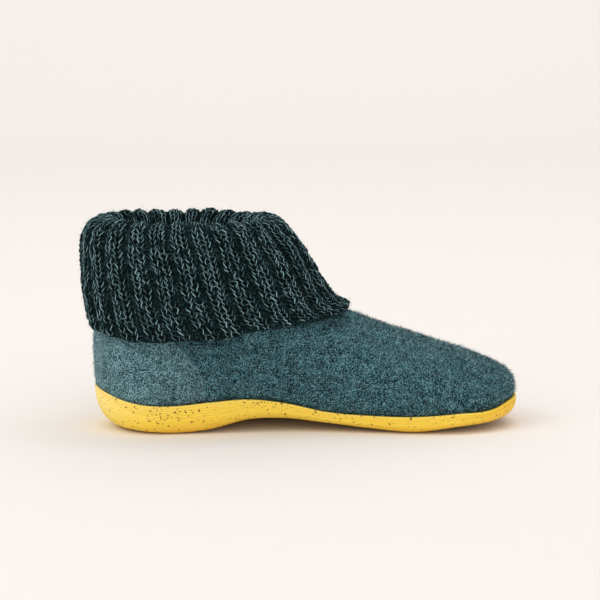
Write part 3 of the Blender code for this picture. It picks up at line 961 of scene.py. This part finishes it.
@dataclass
class Outsole:
    """The rubber cup: rolled underside with fine tread, bulging wall with faint lines, rim and floor."""

    rim_wall: float = 2.2
    rim_round: float = 0.8
    wall_bulge: float = 0.5
    heel_roll: float = 25.0
    toe_roll: float = 9.0
    side_roll: float = 9.0
    roll_power: float = 2.2
    feather_turn: float = 3.0
    gap: float = 0.3
    tuck: float = 0.4
    tuck_drop: float = 1.0
    steps: int = 170
    roll_steps: int = 14
    wall_steps: int = 30
    rim_steps: int = 4
    fill_columns: int = 40
    wall_lines: int = 5
    line_power: int = 6
    line_depth: float = 0.4
    line_shade: float = 0.2
    tread_pitch: float = 5.5
    tread_depth: float = 0.45
    tread_sway: float = 1.6
    sway_width: float = 4.0
    tread_margin: float = 0.12
    # Painted light and shade of the sole's tone: its under rings, low wall and toe darker, its rim and heel
    # paler.
    under_rings: int = 5
    low_tone: float = 0.26
    rim_paler: float = 0.34
    heel_paler: float = 0.4
    heel_fade: float = 22.0
    toe_darker: float = 0.2
    toe_start: float = 215.0
    toe_fade: float = 40.0

    def wall_ring(self, turn: float, stations: np.ndarray, sides: np.ndarray) -> np.ndarray:
        """Draws one ring of the rolled lower edge.

        Args:
            turn: 0 under the sole, a quarter turn at the side wall.
            stations: Shares of the length.
            sides: -1 on the inner side, 1 on the outer one.

        Returns:
            Points of the ring.
        """
        inward = 1 - np.sin(turn) ** (2 / self.roll_power)
        raised = 1 - np.cos(turn) ** (2 / self.roll_power)
        heel, toe, side = (roll * inward - self.rim_wall
                           for roll in (self.heel_roll, self.toe_roll, self.side_roll))
        x, y = LAST.foot_ring(heel, toe, side - self.wall_bulge * raised, stations, sides)
        low = LAST.tread_height(x, y)
        top = mix(low, LAST.rim_height(x, sides), smooth(LAST.place(x), SECTIONS, "roll_top"))
        return np.stack([x, y, mix(low, top, raised)], axis=-1)

    def groove(self, share: Numbers) -> Numbers:
        """Depth share of the fine lines at a place up the side wall."""
        return (0.5 - 0.5 * np.cos(FULL_TURN * self.wall_lines * share)) ** self.line_power

    def under(self, x: np.ndarray, y: np.ndarray) -> np.ndarray:
        """Gives the height of the underside with its fine wavy tread.

        Args:
            x: Places along the sole.
            y: Places across it.

        Returns:
            Heights.
        """
        wave = np.cos(FULL_TURN * (x + self.tread_sway * np.sin(y / self.sway_width)) / self.tread_pitch)
        across = LAST.across(x, y)
        fade = ease(across / self.tread_margin) * ease((1 - across) / self.tread_margin)
        return LAST.tread_height(x, y) + self.tread_depth * fade * np.clip(wave, 0.0, 1.0)

    def rings(self) -> np.ndarray:
        """Draws the rings from the underside over the rim to the floor of the cup.

        Returns:
            Points, a row for each ring.
        """
        layout = ring_layout(self.steps)
        rings = [self.wall_ring(turn, *layout) for turn in np.linspace(0.0, QUARTER_TURN, self.roll_steps)]
        low = rings[-1]
        top = LAST.rim_ring(-self.rim_wall, self.rim_round, *layout)
        outward = unit(ring_normals(np.array([low, top]))[0] * [1, 1, 0])
        for share in np.linspace(0, 1, self.wall_steps + 1)[1:]:
            rings.append(mix(low, top, share) - self.line_depth * self.groove(share) * outward)
        for turn in np.linspace(0, QUARTER_TURN, self.rim_steps + 1)[1:]:
            grown = self.rim_wall - self.rim_round * (1 - np.cos(turn))
            rings.append(LAST.rim_ring(-grown, self.rim_round * (1 - np.sin(turn)), *layout))
        rings.append(LAST.rim_ring(-self.gap, 0.0, *layout))
        rings.append(LAST.rim_ring(self.tuck, self.tuck_drop, *layout))
        rings.append(LAST.bed_ring(self.feather_turn - self.gap, 0.0, *layout))
        return np.array(rings)

    def build(self) -> list[bpy.types.Object]:
        """Makes the sole's visible mesh: paler at heel and rim and darker low on the wall, at the toe, along
        its lines and underneath, all painted light and shade.

        Returns:
            The piece.
        """
        rings = self.rings()
        points, quads, triangles = close_rings(rings, self.under, LAST.bed_height, self.fill_columns)
        count = rings.shape[1]
        ringed = len(rings) * count
        # Painted light: paler up the wall towards the rim and at the heel, facing the light; painted shade
        # low on the wall and at the toe, turned from it.
        rise = points[:, 2] / LAST.rim_height(points[:, 0], points[:, 1])
        heel = np.exp(-np.clip(points[:, 0], 0, None) / self.heel_fade)
        toe = ease((points[:, 0] - self.toe_start) / self.toe_fade)
        tone = self.low_tone + self.rim_paler * rise + self.heel_paler * heel - self.toe_darker * toe
        # Painted shade: the underside and the first rings of the roll take the darker under colour, and the
        # wall's lines are darkened.
        # The underside fill is the first half of the points that are not on rings.
        off_floor = np.ones(len(points))
        off_floor[ringed:(ringed + len(points)) // 2] = 0.0
        rolled = ease(np.arange(self.under_rings) / self.under_rings)
        off_floor[:self.under_rings * count] = np.repeat(rolled, count)
        lined = np.zeros(len(points))
        start = self.roll_steps * count
        wall = np.arange(1, self.wall_steps + 1) / self.wall_steps
        lined[start:start + self.wall_steps * count] = np.repeat(self.groove(wall), count)
        tint = np.clip(tone, 0.0, 1.0) * off_floor - self.line_shade * lined
        draft = MeshDraft("rubber_outsole", points, quads, triangles, tint=tint)
        return [draft.build(SpeckledRubber().material(), "outsole", "sole_rubber")]


@dataclass
class Footbed:
    """The felt insole in the cup; its edge gives the inset and share of the thickness of each ring."""

    inset: float = 6.6
    gap: float = 0.3
    thickness: float = 4.0
    edge: tuple[tuple[float, float], ...] = ((0.0, 0.0), (0.0, 0.6), (0.3, 0.85), (1.0, 1.0))
    steps: int = 90
    fill_columns: int = 20

    def top(self, x: np.ndarray, y: np.ndarray) -> np.ndarray:
        """Height of the footbed's upper face."""
        return self.bottom(x, y) + self.thickness

    def bottom(self, x: np.ndarray, y: np.ndarray) -> np.ndarray:
        """Height of the footbed's lower face."""
        return LAST.bed_height(x, y) + self.gap

    def build(self) -> list[bpy.types.Object]:
        """Makes the footbed with a rounded upper edge.

        Returns:
            The piece.
        """
        layout = ring_layout(self.steps)
        rings = [LAST.bed_ring(self.inset + drawn, self.gap + share * self.thickness, *layout)
                 for drawn, share in self.edge]
        closed = close_rings(np.array(rings), self.bottom, self.top, self.fill_columns)
        piece = MeshDraft("felt_footbed", *closed).build(FOOTBED_FELT.material(), "insole", "footbed_felt")
        return [piece]


@dataclass
class FeltUpper:
    """The boiled-wool shell: one seamless form, uneven as felt is, with soft creases where the foot bends."""

    wall: float = 3.0
    gap: float = 0.3
    feather_turn: float = 3.0
    lip_rise: float = 0.35
    lip_inset: float = 0.5
    steps: int = 200
    levels: int = 96
    inner_stride: int = 5
    ripples: tuple[Ripples, ...] = (Ripples(11, 3.2, 0.05), Ripples(12, 9.0, 0.1), Ripples(13, 34.0, 0.28))
    even_below: float = 0.06
    crease_side: float = 12.0
    rim_swell: float = 0.8
    swell_level: float = 0.03
    swell_fall: float = 0.22
    swell_fade: float = 40.0
    tuck_rows: float = 2.6
    tuck_darker: float = 0.72
    turned_rows: float = 11.0
    turned_darker: float = 0.14
    nap_count: int = 44000
    nap_top: float = 0.72
    nap_seed: int = 21
    nap: Fuzz = Fuzz("felt_upper_nap", length=2.6, lift=1.5, width=0.18, spread=3.2)

    def creases(self, points: np.ndarray) -> np.ndarray:
        """Adds up the listed creases.

        Args:
            points: Points on the upper.

        Returns:
            Heights.
        """
        total = np.zeros(points.shape[:-1])
        plan = points[..., [0, 2]]
        for crease in CREASES:
            start = np.array([crease.low_x, crease.low_z])
            run = np.array([crease.high_x, crease.high_z]) - start
            along = np.clip((plan - start) @ run / (run @ run), 0.0, 1.0)
            distance = np.linalg.norm(plan - start - along[..., None] * run, axis=-1)
            beside = ease(crease.side * points[..., 1] / self.crease_side)
            total += crease.height * beside * np.exp(-((distance / crease.width) ** 2))
        return total

    def outside(self) -> np.ndarray:
        """Finds the rings of the outside, from the rim to the collar.

        Returns:
            Points, a row for each ring.
        """
        stations, sides = ring_layout(self.steps)
        levels = np.linspace(0, 1, self.levels)
        rings = np.array([LAST.upper_points(level, stations, sides) for level in levels])
        level = levels[:, None]
        falling = 1 - ease((level - self.swell_level) / self.swell_fall)
        forward = ease((rings[..., 0] - COUNTER_EDGE[0].edge_x) / self.swell_fade)
        swell = self.rim_swell * ease(level / self.swell_level) * falling * forward
        uneven = sum(ripple.at(rings) for ripple in self.ripples) + self.creases(rings)
        return rings + (uneven * ease(level / self.even_below) + swell)[..., None] * ring_normals(rings)

    def build(self) -> list[bpy.types.Object]:
        """Makes the shell and its nap.

        Returns:
            The pieces.
        """
        outer = self.outside()
        feather = LAST.bed_ring(self.feather_turn, self.gap, *ring_layout(self.steps))
        shell = np.concatenate([feather[None], outer])
        inward = -self.wall * ring_normals(shell)
        inner = shell + inward
        inner[0, :, 2] = feather[:, 2]
        lip = shell[-1:] + [0.0, 0.0, self.lip_rise * self.wall] + self.lip_inset * inward[-1:]
        kept = np.concatenate([inner[:1], inner[1::self.inner_stride]])
        rings = np.concatenate([shell, lip, kept[::-1]])
        # Painted shade: the felt is darkened where it tucks behind the rubber rim, and a little on the band
        # above it, which turns from the light.
        row = np.arange(len(rings))
        tucked = self.tuck_darker * np.exp(-((row / self.tuck_rows) ** 2))
        turned = self.turned_darker * np.exp(-((row / self.turned_rows) ** 2))
        draft = MeshDraft("felt_upper", rings.reshape(-1, 3), band_quads(len(rings), rings.shape[1], True),
                          tint=np.repeat(-tucked - turned, rings.shape[1]))
        upper = draft.build(BOILED_WOOL.material(), "upper", "boiled_wool")
        shown = outer[:int(self.nap_top * self.levels)]
        roots, normals = scatter(shown, ring_normals(shown), self.nap_count, self.nap_seed)
        return [upper, self.nap.draft(roots, normals).build(FELT_NAP.material(), "upper", "boiled_wool")]


@dataclass
class HeelCounter:
    """The smoother felt panel over the back of the upper, with a rounded, slightly raised edge."""

    gap: float = 0.15
    thickness: float = 1.2
    sunk: float = 0.3
    lip: float = 0.6
    bead: float = 0.3
    bead_width: float = 0.9
    edge_round: float = 0.8
    skive: float = 7.0
    ripples: tuple[Ripples, ...] = (Ripples(31, 4.0, 0.04), Ripples(32, 14.0, 0.1))
    # Painted light: a highlight along the raised edge, and painted shade where the panel tucks behind the
    # rim.
    edge_paler: float = 0.32
    front_darker: float = 0.36
    front_fade: float = 45.0
    dark_below: float = 0.5
    tuck_darker: float = 0.75
    tuck_height: float = 1.7
    rows: int = 44
    side_steps: int = 70
    step_power: float = 1.5
    nap_count: int = 7000
    nap_seed: int = 33
    nap: Fuzz = Fuzz("felt_counter_nap", length=2.0, lift=1.1, width=0.15, seed=34)

    def levels(self) -> np.ndarray:
        """Levels of the panel's rows on the upper."""
        return np.linspace(0.0, COUNTER_EDGE[-1].level, self.rows)

    def beading(self, edge: np.ndarray) -> np.ndarray:
        """Share of the raised bead at distances from the panel's edge."""
        return np.exp(-(((edge - self.edge_round) / self.bead_width) ** 2))

    def grid(self) -> tuple[np.ndarray, np.ndarray, np.ndarray]:
        """Lays the panel's grid over the upper: outer side, heel, inner side.

        Returns:
            Points on the upper, and their distances from the nearer front edge and from any free edge.
        """
        share = np.linspace(0, 1, self.side_steps + 1) ** self.step_power
        rows = []
        for level in self.levels():
            back = smooth(level, UPPER_RINGS, "back_x")
            front = smooth(level, UPPER_RINGS, "front_x")
            reach = (smooth(level, COUNTER_EDGE, "edge_x") - back) / (front - back)
            inner = LAST.upper_points(level, share * reach, -np.ones_like(share))
            outer = LAST.upper_points(level, share * reach, np.ones_like(share))
            rows.append(np.concatenate([outer[:0:-1], inner]))
        points = np.array(rows)
        outer_end, inner_end, top = (np.linalg.norm(points - border, axis=-1)
                                     for border in (points[:, :1], points[:, -1:], points[-1:]))
        front = np.minimum(outer_end, inner_end)
        return points, front, np.minimum(front, top)

    def tones(self, points: np.ndarray, front: np.ndarray, edge: np.ndarray) -> np.ndarray:
        """Tints the panel: a painted highlight along its edge, darker low in front, and painted shade where
        it tucks behind the rim.

        Args:
            points: Points on the upper.
            front: Distances from the nearer front edge.
            edge: Distances from any free edge.

        Returns:
            Tints.
        """
        pale = self.edge_paler * self.beading(edge)
        low = np.clip(1 - self.levels()[:, None] / self.dark_below, 0.0, 1.0)
        shaded = self.front_darker * low * np.clip(1 - front / self.front_fade, 0.0, 1.0)
        rise = points[..., 2] - points[:1, :, 2]
        return pale - shaded - self.tuck_darker * np.exp(-((rise / self.tuck_height) ** 2))

    def build(self) -> list[bpy.types.Object]:
        """Makes the panel and its short nap.

        Returns:
            The pieces.
        """
        points, front, edge = self.grid()
        normal = unit(np.cross(np.gradient(points, axis=1), np.gradient(points, axis=0)))
        rounded = np.clip(edge / self.edge_round, 0, 1)
        height = self.lip * np.sqrt(1 - (1 - rounded) ** 2)
        height += (self.thickness - self.lip) * ease(edge / self.skive)
        height += self.bead * self.beading(edge) * rounded
        uneven = sum(ripple.at(points) for ripple in self.ripples)
        outer = (points + (self.gap + height + uneven * rounded)[..., None] * normal).reshape(-1, 3)
        inner = (points - self.sunk * normal).reshape(-1, 3)
        rows, columns = edge.shape
        back = rows * columns
        face = band_quads(rows, columns, False, False)
        border = np.concatenate([
            np.arange(columns), np.arange(1, rows) * columns + columns - 1,
            (rows - 1) * columns + np.arange(columns - 2, -1, -1), np.arange(rows - 2, 0, -1) * columns])
        following = np.roll(border, -1)
        rim = np.stack([border, back + border, back + following, following], axis=-1)
        quads = np.concatenate([face, back + face[:, ::-1], rim])
        draft = MeshDraft("felt_heel_counter", np.concatenate([outer, inner]), quads,
                          tint=np.tile(self.tones(points, front, edge).ravel(), 2))
        panel = draft.build(COUNTER_FELT.material(), "heel_counter", "counter_felt")
        picked = np.random.default_rng(self.nap_seed).choice(back, self.nap_count)
        fibres = self.nap.draft(outer[picked], normal.reshape(-1, 3)[picked])
        return [panel, fibres.build(FELT_NAP.material(), "heel_counter", "counter_felt")]


class YarnRound(NamedTuple):
    """One closed round of yarn: its centre line, the fabric's normals, its paleness, its strands' start."""

    centre: np.ndarray
    normals: np.ndarray
    pale: np.ndarray
    start: float


@dataclass
class KnitCuff:
    """The two-by-two rib cuff: one yarn looped row by row, folded over the collar and turned down outside."""

    ribs: int = 26
    pattern: tuple[tuple[Face, float], ...] = (
        (Face.KNIT, 0.41), (Face.KNIT, 0.41), (Face.PURL, 0.09), (Face.PURL, 0.09))
    row_height: float = 3.05
    loop_share: float = 0.8
    bend: float = 0.25
    knit_rise: float = 0.5
    purl_rise: float = 0.4
    rib_wave: float = 0.85
    sink: float = 0.4
    yarn_radius: float = 0.55
    # Slack of hand knitting along x, y and z: seeds, lengths and heights of its short and its long waves.
    slack_seeds: tuple[tuple[int, int], ...] = ((41, 46), (42, 47), (43, 48))
    slack_lengths: tuple[float, float] = (7.5, 30.0)
    slack_heights: tuple[float, float] = (0.25, 0.35)
    slack_waves: int = 12
    looseness: float = 0.1
    aside_share: float = 0.5
    # Painted light and shade of the yarn: raised loops paler, painted shade in the rib grooves and on the
    # last rows at the hem.
    groove_shade: float = 0.3
    shaded_under: float = -0.35
    pale_over: float = 1.0
    groove_pale: float = 0.36
    hem_shade: float = 2.4
    hem_start: float = 0.5
    hem_pale: float = 0.8
    strand_shift: float = 7.3
    edge_drop: float = 0.9
    edge_twist: float = 0.4
    edge_points: int = 6
    points_shown: int = 11
    points_hidden: int = 8
    sides_shown: int = 6
    sides_hidden: int = 4
    path_samples: int = 240
    ring_samples: int = 832
    sag_power: float = 0.65
    # Painted shade: a dark sheet laid under the stitches.
    shade_sheet_depth: float = 0.45
    shade_sheet_start: float = 0.6
    shade_sheet_stop: float = 1.5
    shade_sheet_rows: int = 58
    shade_sheet_per_rib: int = 8
    nap_count: int = 22000
    nap_seed: int = 44
    nap: Fuzz = Fuzz("cuff_nap", length=3.4, lift=1.3, width=0.1, seed=45)
    places: np.ndarray = field(init=False)
    length: float = field(init=False)
    middle: np.ndarray = field(init=False)
    normal: np.ndarray = field(init=False)

    def __post_init__(self) -> None:
        """Works out the middle surface that the stitches lie on."""
        lines = [np.stack([column(CUFF_RINGS, end + "_x"), column(CUFF_RINGS, end + "_z")], axis=-1)
                 for end in ("back", "front")]
        back, front = (np.linalg.norm(np.diff(line, axis=0), axis=1) for line in lines)
        self.places = np.concatenate([[0.0], np.cumsum((back + front) / 2)])
        self.length = float(self.places[-1])
        self.middle = np.array([self.fold_line(at) for at in np.linspace(0, self.length, self.path_samples)])
        along = np.roll(self.middle, -1, axis=1) - np.roll(self.middle, 1, axis=1)
        self.normal = unit(np.cross(np.gradient(self.middle, axis=0), along))

    def fold_line(self, at: float) -> np.ndarray:
        """Draws one ring of the folded sheet, with its points at equal distances.

        Args:
            at: Distance from the inner end along the sheet.

        Returns:
            Points of the ring, from the back along the inner side.
        """
        row = {name: hermite(at, self.places, column(CUFF_RINGS, name)) for name in CuffRing._fields[1:]}
        stations, sides = ring_layout(self.ring_samples // 2)
        x = mix(row["back_x"], row["front_x"], stations)
        drop = row["sag"] * np.sin(np.pi * stations ** self.sag_power)
        z = mix(row["back_z"], row["front_z"], stations) - drop
        ring = np.stack([x, sides * row["half"] * oval(stations, row["power"]), z], axis=-1)
        loop = np.concatenate([ring, ring[:1]])
        distance = np.concatenate([[0.0], np.cumsum(np.linalg.norm(np.diff(loop, axis=0), axis=1))])
        places = np.arange(self.ring_samples) / self.ring_samples * distance[-1]
        return np.stack([np.interp(places, distance, loop[:, axis]) for axis in range(3)], axis=-1)

    def on_sheet(self, round_share: np.ndarray, at: np.ndarray) -> tuple[np.ndarray, np.ndarray]:
        """Reads the middle surface.

        Args:
            round_share: Share of the way round, from the back along the inner side.
            at: Distance from the inner end along the sheet.

        Returns:
            Points and the normals of the side that shows.
        """
        row = np.clip(at / self.length, 0, 1) * (self.path_samples - 1)
        low = np.minimum(row.astype(int), self.path_samples - 2)
        place = (round_share % 1.0) * self.ring_samples
        left = place.astype(int) % self.ring_samples
        right = (left + 1) % self.ring_samples
        up, over = (row - low)[..., None], (place - np.floor(place))[..., None]
        read = [mix(mix(grid[low, left], grid[low, right], over),
                    mix(grid[low + 1, left], grid[low + 1, right], over), up)
                for grid in (self.middle, self.normal)]
        return read[0], unit(read[1])

    def rib_height(self, round_share: np.ndarray) -> np.ndarray:
        """Rise of the ribs over the middle surface."""
        return self.rib_wave * np.cos(FULL_TURN * self.ribs * round_share) - self.sink

    def lifted(self, round_share: np.ndarray, at: np.ndarray,
               height: np.ndarray) -> tuple[np.ndarray, np.ndarray]:
        """Finds points at a height over the ribbed surface, with the slack of hand knitting.

        Args:
            round_share: Share of the way round.
            at: Distance along the sheet.
            height: Height over the surface.

        Returns:
            Points and normals.
        """
        points, normals = self.on_sheet(round_share, at)
        points = points + (height + self.rib_height(round_share))[..., None] * normals
        slack = [sum(Ripples(seed, length, rise, self.slack_waves).at(points)
                     for seed, length, rise in zip(seeds, self.slack_lengths, self.slack_heights))
                 for seeds in self.slack_seeds]
        return points + np.stack(slack, axis=-1), normals

    def wales(self) -> tuple[np.ndarray, np.ndarray, np.ndarray]:
        """Lays the stitch columns round the cuff, a pair of knit columns centred on the back.

        Returns:
            Start of each column, its width (both as shares of the way round) and its face.
        """
        width = np.tile([share for _, share in self.pattern], self.ribs) / self.ribs
        face = np.tile([kind.value for kind, _ in self.pattern], self.ribs)
        start = np.concatenate([[0.0], np.cumsum(width)[:-1]]) - self.pattern[0][1] / self.ribs
        return start, width, face

    def paleness(self, height: np.ndarray, round_share: np.ndarray, at: float) -> np.ndarray:
        """Says how pale the yarn is painted: paler where raised to the light, painted shade in the grooves
        and at the curled hem.

        Args:
            height: Height of the yarn over the ribbed surface.
            round_share: Share of the way round.
            at: Distance of the yarn's row from the inner end.

        Returns:
            Shares, lower where shade is painted: in the grooves and along the hem.
        """
        raised = height + self.groove_shade * self.rib_height(round_share)
        share = ease((raised - self.shaded_under) / (self.pale_over - self.shaded_under))
        share = mix(self.groove_pale, 1.0, share)
        above_hem = ease((self.length - at) / self.hem_shade - self.hem_start)
        return share * mix(self.hem_pale, 1.0, above_hem)

    def course(self, at: float, points: int) -> YarnRound:
        """Loops the yarn once round the cuff.

        Args:
            at: Distance of the row's middle from the inner end.
            points: Points in each stitch.

        Returns:
            The round of yarn.
        """
        start, width, face = (values[:, None] for values in self.wales())
        turn = np.arange(points)[None, :] / points * FULL_TURN
        # The row's place, in hundredths of a millimetre, is its seed.
        rng = np.random.default_rng(round(at * 100))
        deeper, longer, aside = self.looseness * rng.normal(size=(3, len(start), 1))
        rise = np.where(face > 0, self.knit_rise, -self.purl_rise) * (1 + deeper)
        free = np.sin(turn / 2) ** 2
        swing = turn / FULL_TURN + self.bend * np.sin(2 * turn) + self.aside_share * aside * free
        round_share = start + width * swing
        along = at + self.loop_share * self.row_height * (np.cos(turn) + longer * free)
        height = rise * (1 - np.cos(2 * turn))
        centre, normals = self.lifted(round_share, along, height)
        pale = self.paleness(height, round_share, at)
        return YarnRound(centre.reshape(-1, 3), normals.reshape(-1, 3), pale.ravel(), self.strand_shift * at)

    def cast_on(self) -> list[YarnRound]:
        """Twists two yarns into the firm edge that closes the hem, one twist to a stitch.

        Returns:
            The two rounds of yarn.
        """
        stitches = self.ribs * len(self.pattern)
        share = np.arange(stitches * self.edge_points) / (stitches * self.edge_points)
        at = self.length - self.edge_drop
        rounds = []
        for start in (0.0, np.pi):
            turn = FULL_TURN * stitches * share + start
            height = self.edge_twist * np.cos(turn)
            centre, normals = self.lifted(share, at + self.edge_twist * np.sin(turn), height)
            rounds.append(YarnRound(centre, normals, self.paleness(height, share, at), start))
        return rounds

    def yarn_draft(self, name: str, rounds: Sequence[YarnRound], per_stitch: int,
                   sides: int) -> tuple[MeshDraft, np.ndarray]:
        """Wraps rounds of yarn into one mesh.

        Args:
            name: Name of the piece.
            rounds: The rounds of yarn.
            per_stitch: Points in each stitch.
            sides: Sides of the yarn's outline.

        Returns:
            The mesh, and the outward direction at each of its points.
        """
        points, directions, quads, uv, tint = [], [], [], [], []
        angle = (np.arange(sides) / sides * FULL_TURN + np.pi)[None, :, None]
        made = 0
        for line in rounds:
            tangent = unit(np.roll(line.centre, -1, axis=0) - np.roll(line.centre, 1, axis=0))
            front = unit(line.normals - np.sum(line.normals * tangent, axis=1, keepdims=True) * tangent)
            out = np.cos(angle) * front[:, None] + np.sin(angle) * np.cross(tangent, front)[:, None]
            # Painted light: the side of the yarn that faces out of the fabric is paler.
            facing = np.clip(np.sum(out * line.normals[:, None], axis=-1), 0.0, 1.0) ** 2
            tint.append((line.pale[:, None] * facing).ravel())
            count = len(line.centre)
            place, side = np.meshgrid(np.arange(count), np.arange(sides), indexing="ij")
            corners = ((side, place), (side + 1, place), (side + 1, place + 1), (side, place + 1))
            uv.append(np.stack([np.stack([around / sides, along / per_stitch + line.start], axis=-1)
                                for around, along in corners], axis=2).reshape(-1, 4, 2))
            quads.append(band_quads(count, sides, True) + made)
            points.append((line.centre[:, None] + self.yarn_radius * out).reshape(-1, 3))
            directions.append(out.reshape(-1, 3))
            made += count * sides
        draft = MeshDraft(name, np.concatenate(points), np.concatenate(quads), corner_uv=np.concatenate(uv),
                          tint=np.concatenate(tint))
        return draft, np.concatenate(directions)

    def shade_sheet(self) -> bpy.types.Object:
        """Makes a dark sheet under the stitches, painted shade that shows between them.

        Returns:
            The piece.
        """
        columns = self.ribs * self.shade_sheet_per_rib
        rows = np.linspace(self.shade_sheet_start, self.length - self.shade_sheet_stop, self.shade_sheet_rows)
        round_share, at = np.meshgrid(np.arange(columns) / columns, rows)
        points = self.lifted(round_share, at, np.full_like(at, -self.shade_sheet_depth))[0]
        draft = MeshDraft("cuff_shade_sheet", points.reshape(-1, 3), band_quads(*points.shape[:2], False)[:, ::-1])
        return draft.build(KNIT_SHADE_SHEET.material(), "cuff", "rib_knit")

    def build(self) -> list[bpy.types.Object]:
        """Knits the cuff and its nap.

        Returns:
            The pieces.
        """
        reach = self.loop_share * self.row_height + self.yarn_radius
        rows = np.arange(self.length - reach, reach, -self.row_height)[::-1]
        names = [ring.name for ring in CUFF_RINGS]
        fold = self.places[names.index("fold inside")]
        turned = rows[rows >= fold]
        half = len(turned) // 2
        inside = [self.course(at, self.points_hidden) for at in rows[rows < fold]]
        outside = [self.course(at, self.points_shown) for at in turned]
        drafts = [
            self.yarn_draft("cuff_knit_inside", inside, self.points_hidden, self.sides_hidden),
            self.yarn_draft("cuff_knit_upper", outside[:half], self.points_shown, self.sides_shown),
            self.yarn_draft("cuff_knit_lower", outside[half:], self.points_shown, self.sides_shown),
            self.yarn_draft("cuff_cast_on", self.cast_on(), self.edge_points, self.sides_shown),
        ]
        yarn = WoolYarn().material()
        pieces = [draft.build(yarn, "cuff", "rib_knit") for draft, _ in drafts]
        roots = np.concatenate([draft.points for draft, _ in drafts[1:]])
        out = np.concatenate([directions for _, directions in drafts[1:]])
        picked = np.random.default_rng(self.nap_seed).choice(len(roots), self.nap_count)
        fibres = self.nap.draft(roots[picked], out[picked])
        pieces.append(fibres.build(KNIT_NAP.material(), "cuff", "rib_knit"))
        # A dark sheet of painted shade goes under the stitches.
        shade_sheet = self.shade_sheet()
        return [shade_sheet, *pieces]


class Lamp(NamedTuple):
    """One square soft light: its place and aim in metres, the side of the square, and its power in watts."""

    name: str
    place: tuple[float, float, float]
    aim: tuple[float, float, float]
    size: float
    power: float


LAMPS = (
    Lamp("softbox", (-2.2, -0.9, 2.2), (0.0, 0.0, 0.05), 2.0, 25.0),
    Lamp("top light", (0.0, -0.2, 1.4), (0.0, 0.0, 0.0), 1.0, 1.8),
    Lamp("front light", (0.1, -2.2, 1.0), (0.0, 0.0, 0.05), 2.0, 6.0),
    Lamp("backdrop light", (0.8, 0.6, 3.0), (0.8, 2.7, 1.4), 2.0, 21.0),
)


@dataclass
class Studio:
    """Plain pale floor that sweeps up behind, soft light from above and the left, the photograph's camera."""

    floor_colour: str = "#f1eeec"
    world_colour: str = "#fffdfb"
    lamp_colour: str = "#fffaf4"
    world_strength: float = 0.755
    floor_reach: float = 12.0
    floor_back: float = 1.5
    floor_columns: int = 9
    sweep_start: float = 1.9
    sweep_radius: float = 0.8
    sweep_steps: int = 16
    wall_top: float = 4.0
    distance: float = 1.300
    elevation: float = 9.0
    azimuth: float = -5.0
    lens: float = 125.82
    sensor: float = 36.0
    target_mm: tuple[float, float, float] = (127.3, 0.0, 77.0)

    def sweep(self) -> None:
        """Makes the floor and backdrop as one smooth sheet."""
        turn = np.linspace(0, QUARTER_TURN, self.sweep_steps)
        curve = self.sweep_start + self.sweep_radius * np.sin(turn)
        depth = np.concatenate([[-self.floor_reach, 0.0, self.floor_back], curve, curve[-1:]])
        rise = np.concatenate([[0.0, 0.0, 0.0], self.sweep_radius * (1 - np.cos(turn)), [self.wall_top]])
        across = np.linspace(-self.floor_reach, self.floor_reach, self.floor_columns)
        points = np.array([[(x, y, z) for x in across] for y, z in zip(depth, rise)])
        quads = band_quads(*points.shape[:2], False, False)
        mesh = bpy.data.meshes.new("floor")
        mesh.from_pydata(points.reshape(-1, 3).tolist(), [], quads.tolist())
        mesh.polygons.foreach_set("use_smooth", np.ones(len(mesh.polygons), bool))
        material, _, shader = new_material("studio_paper")
        set_sockets(shader, {"Base Color": linear(self.floor_colour), "Roughness": 0.9,
                             "Specular IOR Level": 0.05})
        mesh.materials.append(material)
        floor = bpy.data.objects.new("floor", mesh)
        bpy.context.scene.collection.objects.link(floor)

    def hang(self, lamp: Lamp) -> None:
        """Hangs one soft light.

        Args:
            lamp: The light.
        """
        data = bpy.data.lights.new(lamp.name, "AREA")
        data.size = lamp.size
        data.energy = lamp.power
        data.color = linear(self.lamp_colour)[:3]
        light = bpy.data.objects.new(lamp.name, data)
        light.location = lamp.place
        light.rotation_mode = "QUATERNION"
        light.rotation_quaternion = (Vector(lamp.aim) - Vector(lamp.place)).to_track_quat("-Z", "Y")
        bpy.context.scene.collection.objects.link(light)

    def camera(self) -> None:
        """Sets the camera at the photograph's angle."""
        data = bpy.data.cameras.new("camera")
        data.lens = self.lens
        data.sensor_width = self.sensor
        side, up = math.radians(self.azimuth), math.radians(self.elevation)
        back = Vector((math.sin(side) * math.cos(up), -math.cos(side) * math.cos(up), math.sin(up)))
        camera = bpy.data.objects.new("camera", data)
        camera.location = Vector(np.array(self.target_mm) * MM + ORIGIN) + self.distance * back
        camera.rotation_mode = "QUATERNION"
        camera.rotation_quaternion = (-back).to_track_quat("-Z", "Y")
        bpy.context.scene.collection.objects.link(camera)
        bpy.context.scene.camera = camera

    def build(self) -> None:
        """Sets up floor, light and camera."""
        scene = bpy.context.scene
        scene.view_settings.view_transform = "Standard"
        world = bpy.data.worlds.new("studio")
        world.use_nodes = True
        background = world.node_tree.nodes["Background"]
        set_sockets(background, {"Color": linear(self.world_colour), "Strength": self.world_strength})
        scene.world = world
        self.sweep()
        for lamp in LAMPS:
            self.hang(lamp)
        self.camera()


ORIGIN = last_origin(steps=200)


def main() -> None:
    """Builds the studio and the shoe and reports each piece."""
    logging.basicConfig(level=logging.INFO, format="%(message)s")
    Studio().build()
    for part in (Outsole(), Footbed(), FeltUpper(), HeelCounter(), KnitCuff()):
        for piece in part.build():
            LOG.info("%s: %d faces", piece.name, len(piece.data.polygons))


if __name__ == "__main__":
    main()
